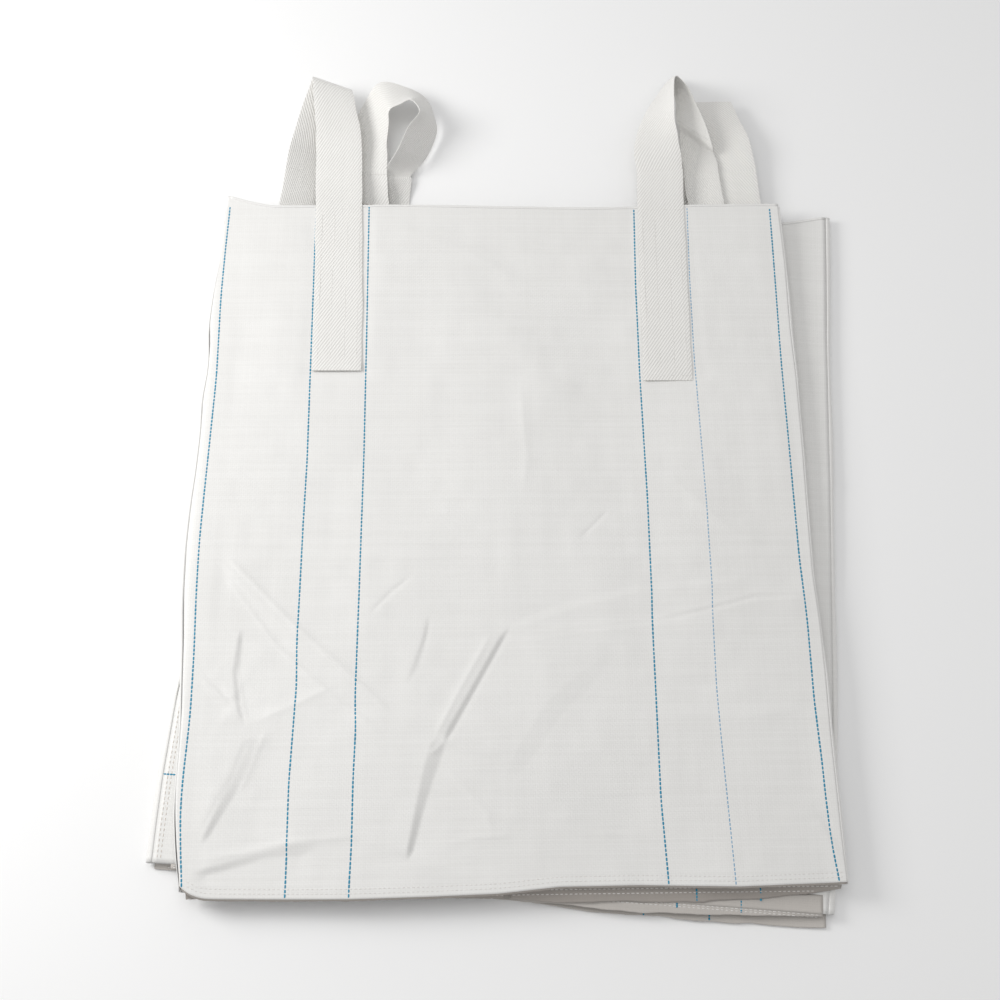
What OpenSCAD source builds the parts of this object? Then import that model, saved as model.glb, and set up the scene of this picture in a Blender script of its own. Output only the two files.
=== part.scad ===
// Flexible intermediate bulk container (bulk bag) with four cross-corner lifting
// loops, folded flat and lying on its rear panel.
// X runs across the bag, Y runs from the base to the mouth, Z is up through the
// folded layers. The origin is on the floor, under the middle of the folded
// bag's whole outline, loops included.

/* [Bag body] */
// Width of each of the four body panels
panel_w = 900; // [850:10:950]
// Height of the body from the base seam to the rim
bag_h = 1100; // [1000:10:1200]
// Thickness of the woven polypropylene cloth with its coating and creasing
fabric_t = 1.2; // [1:0.1:1.2]
// Width of the hem turned in at the rim
hem_w = 35; // [30:1:45]
// Width of the seam allowance that stands out past the base seam
seam_w = 20; // [14:1:24]

/* [Flat fold] */
// Angle between the front and rear panels in the flat fold
skew = 5; // [3:0.5:5]
// Sideways shift of the rear panel under the front panel
shift = 22; // [16:1:24]
// Distance from each side panel half to the centre crease
crease_gap = 3; // [2.5:0.5:4]
// Inset of the base facets at the corners of the bag
facet_inset = 5; // [4:1:8]
// Angle of the sloping edge on each side facet of the base
side_facet_angle = 24; // [18:1:25]

/* [Lifting loops] */
// Width of the loop webbing
web_w = 78; // [70:1:78]
// Thickness of the loop webbing
web_t = 2; // [1.6:0.1:2]
// Length of each loop leg that is sewn to the cloth
sewn_l = 318; // [260:2:330]
// Corner to the middle of a leg on the front and rear panels
panel_leg = 183; // [180:1:186]
// Corner to the middle of a leg on the side panels
side_leg = 130; // [128:1:132]
// Height of the loops' bending line above the front rim
bend_h = 82; // [80:1:84]
// Reach of a loop crown past the bending line
crown_l = 152; // [146:1:156]

/* [Stitching and marker threads] */
// Width of one blue marker thread
marker_w = 2.4; // [2:0.1:3]
// Distance from the edge of a leg to its marker threads
marker_gap = 5; // [5:0.5:6]
// Width of one row of sewing thread
stitch_w = 1.4; // [1:0.1:2]

/* [Hidden] */
NODES = ["front_panel", "rear_panel", "left_side_front_half", "left_side_rear_half",
  "right_side_front_half", "right_side_rear_half",
  "front_rim_hem", "rear_rim_hem", "left_side_front_hem", "left_side_rear_hem",
  "right_side_front_hem", "right_side_rear_hem",
  "front_base_seam", "rear_base_seam", "left_side_front_base_seam", "left_side_rear_base_seam",
  "right_side_front_base_seam", "right_side_rear_base_seam",
  "front_marker_threads", "rear_marker_threads", "left_side_front_marker_threads",
  "left_side_rear_marker_threads", "right_side_front_marker_threads",
  "right_side_rear_marker_threads",
  "front_stitching", "rear_stitching", "left_side_front_stitching", "left_side_rear_stitching",
  "right_side_front_stitching", "right_side_rear_stitching",
  "base_front_facet", "base_rear_facet", "base_left_front_facet", "base_left_rear_facet",
  "base_right_front_facet", "base_right_rear_facet",
  "front_left_panel_leg", "front_left_side_leg", "front_right_panel_leg", "front_right_side_leg",
  "rear_left_panel_leg", "rear_left_side_leg", "rear_right_panel_leg", "rear_right_side_leg",
  "front_left_crown_panel_half", "front_left_crown_side_half",
  "front_right_crown_panel_half", "front_right_crown_side_half",
  "rear_left_crown_panel_half", "rear_left_crown_side_half",
  "rear_right_crown_panel_half", "rear_right_crown_side_half"];
node = "all";

LEFT = -1;
RIGHT = 1;
FRONT = false;
REAR = true;

cloth = [0.93, 0.93, 0.915];
webbing = [0.91, 0.9, 0.875];
blue = [0.13, 0.5, 0.69];
thread = [0.88, 0.87, 0.84];

half_w = panel_w / 2;
half_h = bag_h / 2;
panel_leg_x = half_w - panel_leg;
side_leg_x = half_w - side_leg;
hem_t = 1;
seam_t = 2 * fabric_t; // two plies
ply_gap = 0.05;

// ---- layer heights: undersides in the rear half of the stack, from the floor ----
mid_z = 18;
panel_leg_z = 0;
panel_z = web_t + ply_gap;
base_main_z = 6;
base_side_z = 9.4;
side_z = 13;
side_leg_z = side_z + fabric_t + ply_gap;
// The front half of the stack mirrors the rear half about mid_z
function layer_z(rear, z, t) = rear ? z : 2 * mid_z - z - t;

// ---- panel frames: origin in the middle of a panel, x across, y to the rim ----
half_skew = skew / 2;
// The rear panel is turned clockwise, seen from above, and shifted across
function panel_turn(rear) = rear ? -skew : 0;
function panel_centre(rear) =
  rear ? [shift * cos(half_skew), half_h - shift * sin(half_skew)] : [0, half_h];
function panel_across(rear) = [cos(panel_turn(rear)), sin(panel_turn(rear))];
// A point of a panel's frame in the front panel's axes, with y from the base seam
function panel_point(rear, x, y) = let (across = panel_across(rear))
  panel_centre(rear) + x * across + y * [-across.y, across.x];
module panel_frame(rear) {
  centre = panel_centre(rear);
  translate([centre.x, centre.y, 0]) rotate([0, 0, panel_turn(rear)]) children();
}
// x of the side panels' centre crease at height y, in a panel's frame
function crease(rear, y) = (rear ? -1 : 1) * (shift / 2 * cos(half_skew)
  + (y + shift / 2 * sin(half_skew)) * tan(half_skew));

// ---- the bending line of the loops, and the middle of the folded outline ----
bend_y = bag_h + bend_h;
bend_gap = 1; // from the bending line to each leg and crown
crown_y = bend_y + bend_gap;
crown_overhang = 13.9; // how far the outline stands past the end of a crown's centreline
mid_x = (panel_point(REAR, -half_w, -half_h - seam_w).x
  + panel_point(REAR, half_w, half_h).x) / 2;
mid_y = (panel_point(REAR, half_w, -half_h - seam_w).y
  + crown_y + crown_l + crown_overhang) / 2;
module place() { translate([-mid_x, -mid_y, 0]) children(); }

// ---- flat cloth; every z below is a height in the rear half of the stack ----
module slab(rear, z, t, points) {
  panel_frame(rear)
    translate([0, 0, layer_z(rear, z, t)])
      linear_extrude(height = t) polygon(points);
}
// Keeps an outline counterclockwise: it is given so for the left side
function wound(side, points) =
  side == LEFT ? points : [for (i = [len(points) - 1 : -1 : 0]) points[i]];
// Strips of a front or rear panel, and of a side panel half, between two heights
module panel_strip(rear, z, t, low, high) {
  slab(rear, z, t, [[-half_w, low], [half_w, low], [half_w, high], [-half_w, high]]);
}
module side_strip(side, rear, z, t, low, high) {
  slab(rear, z, t, wound(side, [
    [side * half_w, low],
    [crease(rear, low) + side * crease_gap, low],
    [crease(rear, high) + side * crease_gap, high],
    [side * half_w, high]]));
}

module panel(rear) { panel_strip(rear, panel_z, fabric_t, -half_h, half_h); }
module side_half(side, rear) { side_strip(side, rear, side_z, fabric_t, -half_h, half_h); }

// Hems lie on the inner faces of the cloth
hem_low = half_h - hem_w;
hem_high = half_h - 0.5;
module panel_hem(rear) {
  panel_strip(rear, panel_z + fabric_t + ply_gap, hem_t, hem_low, hem_high);
}
module side_hem(side, rear) {
  side_strip(side, rear, side_z - hem_t - ply_gap, hem_t, hem_low, hem_high);
}

// Seam allowances are thicker than the cloth on its outer side
seam_low = -half_h - seam_w;
seam_high = -half_h - ply_gap;
panel_seam_z = panel_z + fabric_t - seam_t;
module panel_seam(rear) { panel_strip(rear, panel_seam_z, seam_t, seam_low, seam_high); }
module side_seam(side, rear) { side_strip(side, rear, side_z, seam_t, seam_low, seam_high); }

// ---- base facets, which lie inside the fold and swing out to close the base ----
facet_low = -half_h + 0.3;
facet_x = half_w - facet_inset;
module base_main(rear) {
  slab(rear, base_main_z, fabric_t,
    [[-facet_x, facet_low], [facet_x, facet_low], [0, -half_h + facet_x]]);
}
module base_side(side, rear) {
  inner_x = crease(rear, -half_h) + side * crease_gap;
  run = abs(inner_x - side * half_w) - facet_inset;
  slab(rear, base_side_z, fabric_t, wound(side, [
    [side * facet_x, facet_low],
    [inner_x, facet_low],
    [inner_x, -half_h + run * tan(side_facet_angle)]]));
}

// ---- threads ----
face_gap = 0.02; // from a thread to the face it lies on
// A straight thread between two points of a panel's frame
module bar(rear, z, from, to, w, t) {
  run = to - from;
  panel_frame(rear)
    translate([from.x, from.y, layer_z(rear, z, t)])
      rotate([0, 0, atan2(run.y, run.x)])
        translate([0, -w / 2, 0]) cube([norm(run), w, t]);
}

// Blue threads woven in at the corners and on both sides of each leg
marker_t = 0.15;
corner_marker_inset = 2;
module marker(rear, z, x) {
  bar(rear, z, [x, -half_h], [x, half_h], marker_w, marker_t);
}
module leg_markers(rear, z, leg_x) {
  for (edge = [-1, 1]) marker(rear, z, leg_x + edge * (web_w / 2 + marker_gap));
}
module panel_markers(rear) {
  z = panel_z - face_gap - marker_t;
  for (side = [LEFT, RIGHT]) {
    marker(rear, z, side * (half_w - corner_marker_inset));
    leg_markers(rear, z, side * panel_leg_x);
  }
}
module side_markers(side, rear) {
  leg_markers(rear, side_z + fabric_t + face_gap, side * side_leg_x);
}

stitch_t = 0.4;
leg_row_pitch = web_w * 0.27;
end_row_reach = web_w * 0.44; // half the length of a row across a leg
leg_row_gap = 5; // from the rows across a leg to the ends of the rows along it
low_row_inset = 7;
top_row_inset = 9;
rear_top_row_inset = hem_w + 4; // clears the hem on the inner face
hem_row_y = half_h - hem_w + 6;
hem_row_inset = 6; // at the corners and the crease
hem_row_lift = 0.2; // from the cloth to the hem row
hem_row_gap = web_w / 2 + 3; // from the middle of a leg to the hem row
seam_row_drops = [5, 10];
seam_row_inset = 8; // at the corners and the crease

module stitch(rear, z, from, to) { bar(rear, z, from, to, stitch_w, stitch_t); }
// Rows that hold one sewn leg: four along it and one across each end
module leg_rows(rear, z, leg_x, top_inset = top_row_inset) {
  low = half_h - sewn_l + low_row_inset;
  high = half_h - top_inset;
  for (k = [-1.5, -0.5, 0.5, 1.5]) {
    x = leg_x + k * leg_row_pitch;
    stitch(rear, z, [x, low + leg_row_gap], [x, high - leg_row_gap]);
  }
  for (y = [low, high])
    stitch(rear, z, [leg_x - end_row_reach, y], [leg_x + end_row_reach, y]);
}
module hem_row(rear, z, from_x, to_x) {
  stitch(rear, z, [from_x, hem_row_y], [to_x, hem_row_y]);
}
// The part of the hem row between a leg and the corner
module corner_hem_row(side, rear, z, leg_x) {
  hem_row(rear, z, side * (leg_x + hem_row_gap), side * (half_w - hem_row_inset));
}
module seam_rows(rear, z, from_x, to_x) {
  for (drop = seam_row_drops)
    stitch(rear, z, [from_x, -half_h - drop], [to_x, -half_h - drop]);
}
// On the front, all rows lie on the outer face. On the rear, the leg and seam
// rows lie on the inner face.
module panel_rows(rear) {
  leg_row_z = rear ? web_t + 1.31 : panel_leg_z - face_gap - stitch_t;
  hem_row_z = panel_z - hem_row_lift - stitch_t;
  seam_row_z = rear ? panel_z + fabric_t + face_gap : panel_seam_z - face_gap - stitch_t;
  inner_x = panel_leg_x - hem_row_gap;
  seam_x = half_w - seam_row_inset;
  for (side = [LEFT, RIGHT]) {
    leg_rows(rear, leg_row_z, side * panel_leg_x, rear ? rear_top_row_inset : top_row_inset);
    corner_hem_row(side, rear, hem_row_z, panel_leg_x);
  }
  hem_row(rear, hem_row_z, -inner_x, inner_x);
  seam_rows(rear, seam_row_z, -seam_x, seam_x);
}
module side_rows(side, rear) {
  hem_row_z = side_z + fabric_t + hem_row_lift;
  leg_rows(rear, side_leg_z + web_t + face_gap, side * side_leg_x);
  hem_row(rear, hem_row_z,
    crease(rear, hem_row_y) + side * (crease_gap + hem_row_inset),
    side * (side_leg_x - hem_row_gap));
  corner_hem_row(side, rear, hem_row_z, side_leg_x);
  seam_rows(rear, side_z + seam_t + face_gap,
    crease(rear, -half_h) + side * (crease_gap + seam_row_inset),
    side * (half_w - seam_row_inset));
}

// ---- webbing, swept along stations of [x, y, z, and the width's direction x, y, z] ----
function unit(v) = v / norm(v);
// Catmull-Rom curve through the stations: the point at share u of span i
function spline(p, i, u) = let (last = len(p) - 1,
    a = p[max(0, i - 1)], b = p[i], c = p[min(last, i + 1)], d = p[min(last, i + 2)])
  0.5 * (2 * b + (c - a) * u + (2 * a - 5 * b + 4 * c - d) * u * u
    + (3 * b - a - 3 * c + d) * u * u * u);
function smooth(stations, steps) = [
  for (i = [0 : len(stations) - 2]) for (j = [0 : steps - 1]) spline(stations, i, j / steps),
  stations[len(stations) - 1]];

module sweep(stations) {
  last = len(stations) - 1;
  centres = [for (s = stations) [s[0], s[1], s[2]]];
  forward = [for (i = [0 : last]) unit(centres[min(last, i + 1)] - centres[max(0, i - 1)])];
  // The end sections keep their stated direction, so that two pieces can meet squarely
  across = [for (i = [0 : last])
    let (s = stations[i], stated = [s[3], s[4], s[5]])
    i == 0 || i == last ? unit(stated) : unit(stated - (stated * forward[i]) * forward[i])];
  normal = [for (i = [0 : last]) cross(across[i], forward[i])];
  points = [for (i = [0 : last]) for (corner = [[-1, -1], [1, -1], [1, 1], [-1, 1]])
    centres[i] + across[i] * corner[0] * web_w / 2 + normal[i] * corner[1] * web_t / 2];
  skin = [for (i = [0 : last - 1]) for (k = [0 : 3])
    let (a = 4 * i + k, b = 4 * i + (k + 1) % 4, c = b + 4, d = a + 4)
    each [[a, b, c], [a, c, d]]];
  end = 4 * last;
  caps = [[0, 3, 2], [0, 2, 1], [end, end + 1, end + 2], [end, end + 2, end + 3]];
  polyhedron(points = points, faces = concat(skin, caps), convexity = 6);
}

// Where the free part of a leg leaves the cloth, past the rim
free_start = 3;
// Stations of the free part: [share of the way in x and y, share of the way in z]
free_shares = [[0, 0], [0.15, 0.03], [0.5, 0.4]];
// A leg: sewn flat to the cloth, then free from the rim to its bend, [x, z]
module leg(rear, x, z, bend) {
  low = panel_point(rear, x, half_h - sewn_l);
  rim = panel_point(rear, x, half_h + free_start);
  across = concat(panel_across(rear), 0);
  centre_z = layer_z(rear, z, web_t) + web_t / 2;
  way = [bend[0], bend_y - bend_gap] - rim;
  sewn = [for (p = [low, (low + rim) / 2]) concat(p, centre_z, across)];
  free = [for (s = free_shares)
    concat(rim + way * s[0], centre_z + (bend[1] - centre_z) * s[1], across)];
  bent = [bend[0], bend_y - bend_gap, bend[1], 1, 0, 0];
  sweep(concat(sewn, smooth(concat(free, [bent]), 3)));
}
module panel_leg_web(side, rear, bend) { leg(rear, side * panel_leg_x, panel_leg_z, bend); }
module side_leg_web(side, rear, bend) { leg(rear, side * side_leg_x, side_leg_z, bend); }

// One half of a crown, from its bend, [x, z], over a belly to the loop's top,
// [x, reach, tilt]; lean is the share of the tilt reached at the belly
module crown(bend, top, top_z, belly_z, lean = 0.55) {
  bend_z = bend[1];
  // [share of the way in x, share of the reach, z, share of the tilt]
  stations = [
    [0,    0,    bend_z,                              0],
    [0.15, 0.28, bend_z + (belly_z - bend_z) * 0.66,  0.2],
    [0.5,  0.62, belly_z,                             lean],
    [0.88, 0.9,  belly_z + (top_z - belly_z) * 0.3,   0.85],
    [1,    1,    top_z,                               1]];
  sweep(smooth([for (s = stations)
    [bend[0] + (top[0] - bend[0]) * s[0], crown_y + top[1] * s[1], s[2],
      1, 0, top[2] * s[3]]], 4));
}

// Bends of the legs, where the crowns start: [x, z]
front_bend_z = mid_z + 3;
rear_bend_z = mid_z - 3;
rear_bend_y = half_h + bend_h;
rear_left_bend_y = rear_bend_y - 20;
front_left_panel_bend = [-panel_leg_x, front_bend_z];
front_left_side_bend = [-side_leg_x - 2, mid_z];
front_right_panel_bend = [panel_leg_x, front_bend_z];
front_right_side_bend = [side_leg_x - 7, mid_z];
rear_left_panel_bend = [panel_point(REAR, -panel_leg_x, rear_left_bend_y).x + 6, rear_bend_z];
rear_left_side_bend = [panel_point(REAR, -side_leg_x, rear_left_bend_y).x + 4, mid_z];
rear_right_panel_bend = [panel_point(REAR, panel_leg_x, rear_bend_y).x, rear_bend_z];
rear_right_side_bend = [panel_point(REAR, side_leg_x, rear_bend_y).x + 4, mid_z];

// Tops of the loops: [x, reach past the bends, rise of the webbing per unit of x]
front_left_top = [front_left_panel_bend[0] - 22, crown_l, -0.45];
front_right_top = [front_right_panel_bend[0] + 26, crown_l, -0.5];
rear_left_top = [rear_left_panel_bend[0] + 2, crown_l - 6, 0.1];
rear_right_top = [rear_right_side_bend[0] - 18, crown_l - 24, 0];

// ---- one module for each node ----
module front_panel() { color(cloth) panel(FRONT); }
module rear_panel() { color(cloth) panel(REAR); }
module left_side_front_half() { color(cloth) side_half(LEFT, FRONT); }
module left_side_rear_half() { color(cloth) side_half(LEFT, REAR); }
module right_side_front_half() { color(cloth) side_half(RIGHT, FRONT); }
module right_side_rear_half() { color(cloth) side_half(RIGHT, REAR); }

module front_rim_hem() { color(cloth) panel_hem(FRONT); }
module rear_rim_hem() { color(cloth) panel_hem(REAR); }
module left_side_front_hem() { color(cloth) side_hem(LEFT, FRONT); }
module left_side_rear_hem() { color(cloth) side_hem(LEFT, REAR); }
module right_side_front_hem() { color(cloth) side_hem(RIGHT, FRONT); }
module right_side_rear_hem() { color(cloth) side_hem(RIGHT, REAR); }

module front_base_seam() { color(cloth) panel_seam(FRONT); }
module rear_base_seam() { color(cloth) panel_seam(REAR); }
module left_side_front_base_seam() { color(cloth) side_seam(LEFT, FRONT); }
module left_side_rear_base_seam() { color(cloth) side_seam(LEFT, REAR); }
module right_side_front_base_seam() { color(cloth) side_seam(RIGHT, FRONT); }
module right_side_rear_base_seam() { color(cloth) side_seam(RIGHT, REAR); }

module front_marker_threads() { color(blue) panel_markers(FRONT); }
module rear_marker_threads() { color(blue) panel_markers(REAR); }
module left_side_front_marker_threads() { color(blue) side_markers(LEFT, FRONT); }
module left_side_rear_marker_threads() { color(blue) side_markers(LEFT, REAR); }
module right_side_front_marker_threads() { color(blue) side_markers(RIGHT, FRONT); }
module right_side_rear_marker_threads() { color(blue) side_markers(RIGHT, REAR); }

module front_stitching() { color(thread) panel_rows(FRONT); }
module rear_stitching() { color(thread) panel_rows(REAR); }
module left_side_front_stitching() { color(thread) side_rows(LEFT, FRONT); }
module left_side_rear_stitching() { color(thread) side_rows(LEFT, REAR); }
module right_side_front_stitching() { color(thread) side_rows(RIGHT, FRONT); }
module right_side_rear_stitching() { color(thread) side_rows(RIGHT, REAR); }

module base_front_facet() { color(cloth) base_main(FRONT); }
module base_rear_facet() { color(cloth) base_main(REAR); }
module base_left_front_facet() { color(cloth) base_side(LEFT, FRONT); }
module base_left_rear_facet() { color(cloth) base_side(LEFT, REAR); }
module base_right_front_facet() { color(cloth) base_side(RIGHT, FRONT); }
module base_right_rear_facet() { color(cloth) base_side(RIGHT, REAR); }

module front_left_panel_leg() {
  color(webbing) panel_leg_web(LEFT, FRONT, front_left_panel_bend);
}
module front_left_side_leg() {
  color(webbing) side_leg_web(LEFT, FRONT, front_left_side_bend);
}
module front_right_panel_leg() {
  color(webbing) panel_leg_web(RIGHT, FRONT, front_right_panel_bend);
}
module front_right_side_leg() {
  color(webbing) side_leg_web(RIGHT, FRONT, front_right_side_bend);
}
module rear_left_panel_leg() {
  color(webbing) panel_leg_web(LEFT, REAR, rear_left_panel_bend);
}
module rear_left_side_leg() {
  color(webbing) side_leg_web(LEFT, REAR, rear_left_side_bend);
}
module rear_right_panel_leg() {
  color(webbing) panel_leg_web(RIGHT, REAR, rear_right_panel_bend);
}
module rear_right_side_leg() {
  color(webbing) side_leg_web(RIGHT, REAR, rear_right_side_bend);
}

module front_left_crown_panel_half() {
  color(webbing) crown(front_left_panel_bend, front_left_top, top_z = 33, belly_z = 46);
}
module front_left_crown_side_half() {
  color(webbing)
    crown(front_left_side_bend, front_left_top, top_z = 29, belly_z = 12, lean = 0.3);
}
module front_right_crown_panel_half() {
  color(webbing) crown(front_right_panel_bend, front_right_top, top_z = 37, belly_z = 52);
}
module front_right_crown_side_half() {
  color(webbing)
    crown(front_right_side_bend, front_right_top, top_z = 33, belly_z = 17, lean = 0.15);
}
module rear_left_crown_panel_half() {
  color(webbing) crown(rear_left_panel_bend, rear_left_top, top_z = 19, belly_z = 5);
}
module rear_left_crown_side_half() {
  color(webbing) crown(rear_left_side_bend, rear_left_top, top_z = 23, belly_z = 24);
}
module rear_right_crown_panel_half() {
  color(webbing) crown(rear_right_panel_bend, rear_right_top, top_z = 17, belly_z = 4);
}
module rear_right_crown_side_half() {
  color(webbing) crown(rear_right_side_bend, rear_right_top, top_z = 21, belly_z = 28);
}

function shown(name) = node == "all" || node == name;
if (shown("front_panel")) place() front_panel();
if (shown("rear_panel")) place() rear_panel();
if (shown("left_side_front_half")) place() left_side_front_half();
if (shown("left_side_rear_half")) place() left_side_rear_half();
if (shown("right_side_front_half")) place() right_side_front_half();
if (shown("right_side_rear_half")) place() right_side_rear_half();
if (shown("front_rim_hem")) place() front_rim_hem();
if (shown("rear_rim_hem")) place() rear_rim_hem();
if (shown("left_side_front_hem")) place() left_side_front_hem();
if (shown("left_side_rear_hem")) place() left_side_rear_hem();
if (shown("right_side_front_hem")) place() right_side_front_hem();
if (shown("right_side_rear_hem")) place() right_side_rear_hem();
if (shown("front_base_seam")) place() front_base_seam();
if (shown("rear_base_seam")) place() rear_base_seam();
if (shown("left_side_front_base_seam")) place() left_side_front_base_seam();
if (shown("left_side_rear_base_seam")) place() left_side_rear_base_seam();
if (shown("right_side_front_base_seam")) place() right_side_front_base_seam();
if (shown("right_side_rear_base_seam")) place() right_side_rear_base_seam();
if (shown("front_marker_threads")) place() front_marker_threads();
if (shown("rear_marker_threads")) place() rear_marker_threads();
if (shown("left_side_front_marker_threads")) place() left_side_front_marker_threads();
if (shown("left_side_rear_marker_threads")) place() left_side_rear_marker_threads();
if (shown("right_side_front_marker_threads")) place() right_side_front_marker_threads();
if (shown("right_side_rear_marker_threads")) place() right_side_rear_marker_threads();
if (shown("front_stitching")) place() front_stitching();
if (shown("rear_stitching")) place() rear_stitching();
if (shown("left_side_front_stitching")) place() left_side_front_stitching();
if (shown("left_side_rear_stitching")) place() left_side_rear_stitching();
if (shown("right_side_front_stitching")) place() right_side_front_stitching();
if (shown("right_side_rear_stitching")) place() right_side_rear_stitching();
if (shown("base_front_facet")) place() base_front_facet();
if (shown("base_rear_facet")) place() base_rear_facet();
if (shown("base_left_front_facet")) place() base_left_front_facet();
if (shown("base_left_rear_facet")) place() base_left_rear_facet();
if (shown("base_right_front_facet")) place() base_right_front_facet();
if (shown("base_right_rear_facet")) place() base_right_rear_facet();
if (shown("front_left_panel_leg")) place() front_left_panel_leg();
if (shown("front_left_side_leg")) place() front_left_side_leg();
if (shown("front_right_panel_leg")) place() front_right_panel_leg();
if (shown("front_right_side_leg")) place() front_right_side_leg();
if (shown("rear_left_panel_leg")) place() rear_left_panel_leg();
if (shown("rear_left_side_leg")) place() rear_left_side_leg();
if (shown("rear_right_panel_leg")) place() rear_right_panel_leg();
if (shown("rear_right_side_leg")) place() rear_right_side_leg();
if (shown("front_left_crown_panel_half")) place() front_left_crown_panel_half();
if (shown("front_left_crown_side_half")) place() front_left_crown_side_half();
if (shown("front_right_crown_panel_half")) place() front_right_crown_panel_half();
if (shown("front_right_crown_side_half")) place() front_right_crown_side_half();
if (shown("rear_left_crown_panel_half")) place() rear_left_crown_panel_half();
if (shown("rear_left_crown_side_half")) place() rear_left_crown_side_half();
if (shown("rear_right_crown_panel_half")) place() rear_right_crown_panel_half();
if (shown("rear_right_crown_side_half")) place() rear_right_crown_side_half();
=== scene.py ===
"""A woven big bag with four lifting loops, folded flat and lying on the floor.

The front panel lies on top, the rear panel lowest and turned 5 degrees clockwise seen
from above; the side panels are folded in between them. X runs across the bag to the
right, Y from its bottom edge to its rim, Z up. Lengths are in mm until a mesh is made.
Panel coordinates have x = 0 on a panel's centre line and y = 0 on its bottom edge.
"""
import bmesh
import bpy
import math
from collections import namedtuple
import numpy as np
from mathutils import Vector, Matrix


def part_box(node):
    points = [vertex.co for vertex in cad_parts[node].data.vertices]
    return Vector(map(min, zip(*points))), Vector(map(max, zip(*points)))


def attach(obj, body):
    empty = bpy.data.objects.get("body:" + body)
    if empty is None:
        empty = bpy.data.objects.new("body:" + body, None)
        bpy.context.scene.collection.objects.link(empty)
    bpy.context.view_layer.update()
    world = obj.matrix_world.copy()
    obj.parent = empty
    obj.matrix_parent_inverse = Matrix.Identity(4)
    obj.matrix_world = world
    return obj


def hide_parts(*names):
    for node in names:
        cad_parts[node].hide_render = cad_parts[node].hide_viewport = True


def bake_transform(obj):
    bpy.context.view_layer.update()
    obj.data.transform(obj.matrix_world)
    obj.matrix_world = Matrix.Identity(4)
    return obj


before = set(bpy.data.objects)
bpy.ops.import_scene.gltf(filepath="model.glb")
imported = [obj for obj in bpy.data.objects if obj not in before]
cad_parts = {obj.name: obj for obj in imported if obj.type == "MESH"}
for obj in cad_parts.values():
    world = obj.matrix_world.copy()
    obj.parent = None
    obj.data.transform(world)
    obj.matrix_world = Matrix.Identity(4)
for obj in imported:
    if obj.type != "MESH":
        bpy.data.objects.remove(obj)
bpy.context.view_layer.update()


# ---------------------------------------------------------------- panel coordinates
def box_mm(node):
    return [np.array(corner) * 1000 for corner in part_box(node)]


front_low, front_high = box_mm("front_panel")
rear_low, rear_high = box_mm("rear_panel")
FRONT_CENTRE = (front_low + front_high)[:2] / 2
REAR_CENTRE = (rear_low + rear_high)[:2] / 2
HALF_WIDTH, HALF_HEIGHT = (front_high - front_low)[:2] / 2
BOTTOM = FRONT_CENTRE[1] - HALF_HEIGHT
TOP = FRONT_CENTRE[1] + HALF_HEIGHT
Z_FRONT = front_high[2]            # upper faces of the outer panels
Z_REAR = rear_high[2]
Z_SIDE_FRONT = box_mm("left_side_front_half")[0][2]    # lower faces of the side halves
Z_SIDE_REAR, Z_SIDE_REAR_TOP = [corner[2] for corner in box_mm("left_side_rear_half")]
Z_BASE_FRONT = box_mm("base_front_facet")[1][2]
SIDE_THICK = 1.2
CLOTH = 1.15                       # thickness of the panel sheets
RIM = 1100                         # y of the rim
TURN = math.radians(5.0)           # rear panel against front panel
CREASE_SHIFT = 22.0                # sets how far the centre crease lies off the centre lines
BEND = box_mm("front_left_panel_leg")[1][1] + 1        # bending line of the loops, model Y
BEND_Y = BEND - BOTTOM
UP = (0, 0, 1)


def front_frame(x, y):
    """Front panel coordinates to model X and Y."""
    return x + FRONT_CENTRE[0], y + BOTTOM


def rear_frame(x, y):
    """Rear panel coordinates to model X and Y."""
    y = y - HALF_HEIGHT
    return (REAR_CENTRE[0] + x * math.cos(TURN) + y * math.sin(TURN),
            REAR_CENTRE[1] - x * math.sin(TURN) + y * math.cos(TURN))


def model_points(frame, x, y, z):
    return np.stack([*frame(x, y), z], -1)


def front_crease(y):
    """x of the side panels' centre crease."""
    half = CREASE_SHIFT / 2
    return (half * math.cos(TURN / 2)
            + (y - HALF_HEIGHT + half * math.sin(TURN / 2)) * math.tan(TURN / 2))


def rear_crease(y):
    return -front_crease(y)


# ---------------------------------------------------------------- curves and noise
class Noise:
    """Smooth value noise from -1 to 1, repeating every 256 cells."""

    def __init__(self, seed):
        self.grid = np.random.default_rng(seed).uniform(-1, 1, (256, 256))

    def __call__(self, x, y):
        x, y = np.asarray(x, float), np.asarray(y, float)
        i, j = np.floor(x).astype(int), np.floor(y).astype(int)
        across, along = smooth(x - i), smooth(y - j)

        def corner(di, dj):
            return self.grid[(i + di) % 256, (j + dj) % 256]

        near = corner(0, 0) * (1 - across) + corner(1, 0) * across
        far = corner(0, 1) * (1 - across) + corner(1, 1) * across
        return near * (1 - along) + far * along


def smooth(t):
    t = np.clip(t, 0, 1)
    return t * t * (3 - 2 * t)


noise_a, noise_b, noise_c, noise_d = [Noise(seed) for seed in (3, 11, 29, 47)]


def profile(points):
    """Straight interpolation through (position, value) points."""
    at, values = zip(*points)
    return lambda t: np.interp(t, at, values)


def averaged(curve, reach=14):
    return lambda t: (curve(t - reach) + curve(t) + curve(t + reach)) / 3


def outline(points, reach=14):
    """A profile with its corners rounded off."""
    return averaged(profile(points), reach)


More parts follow.
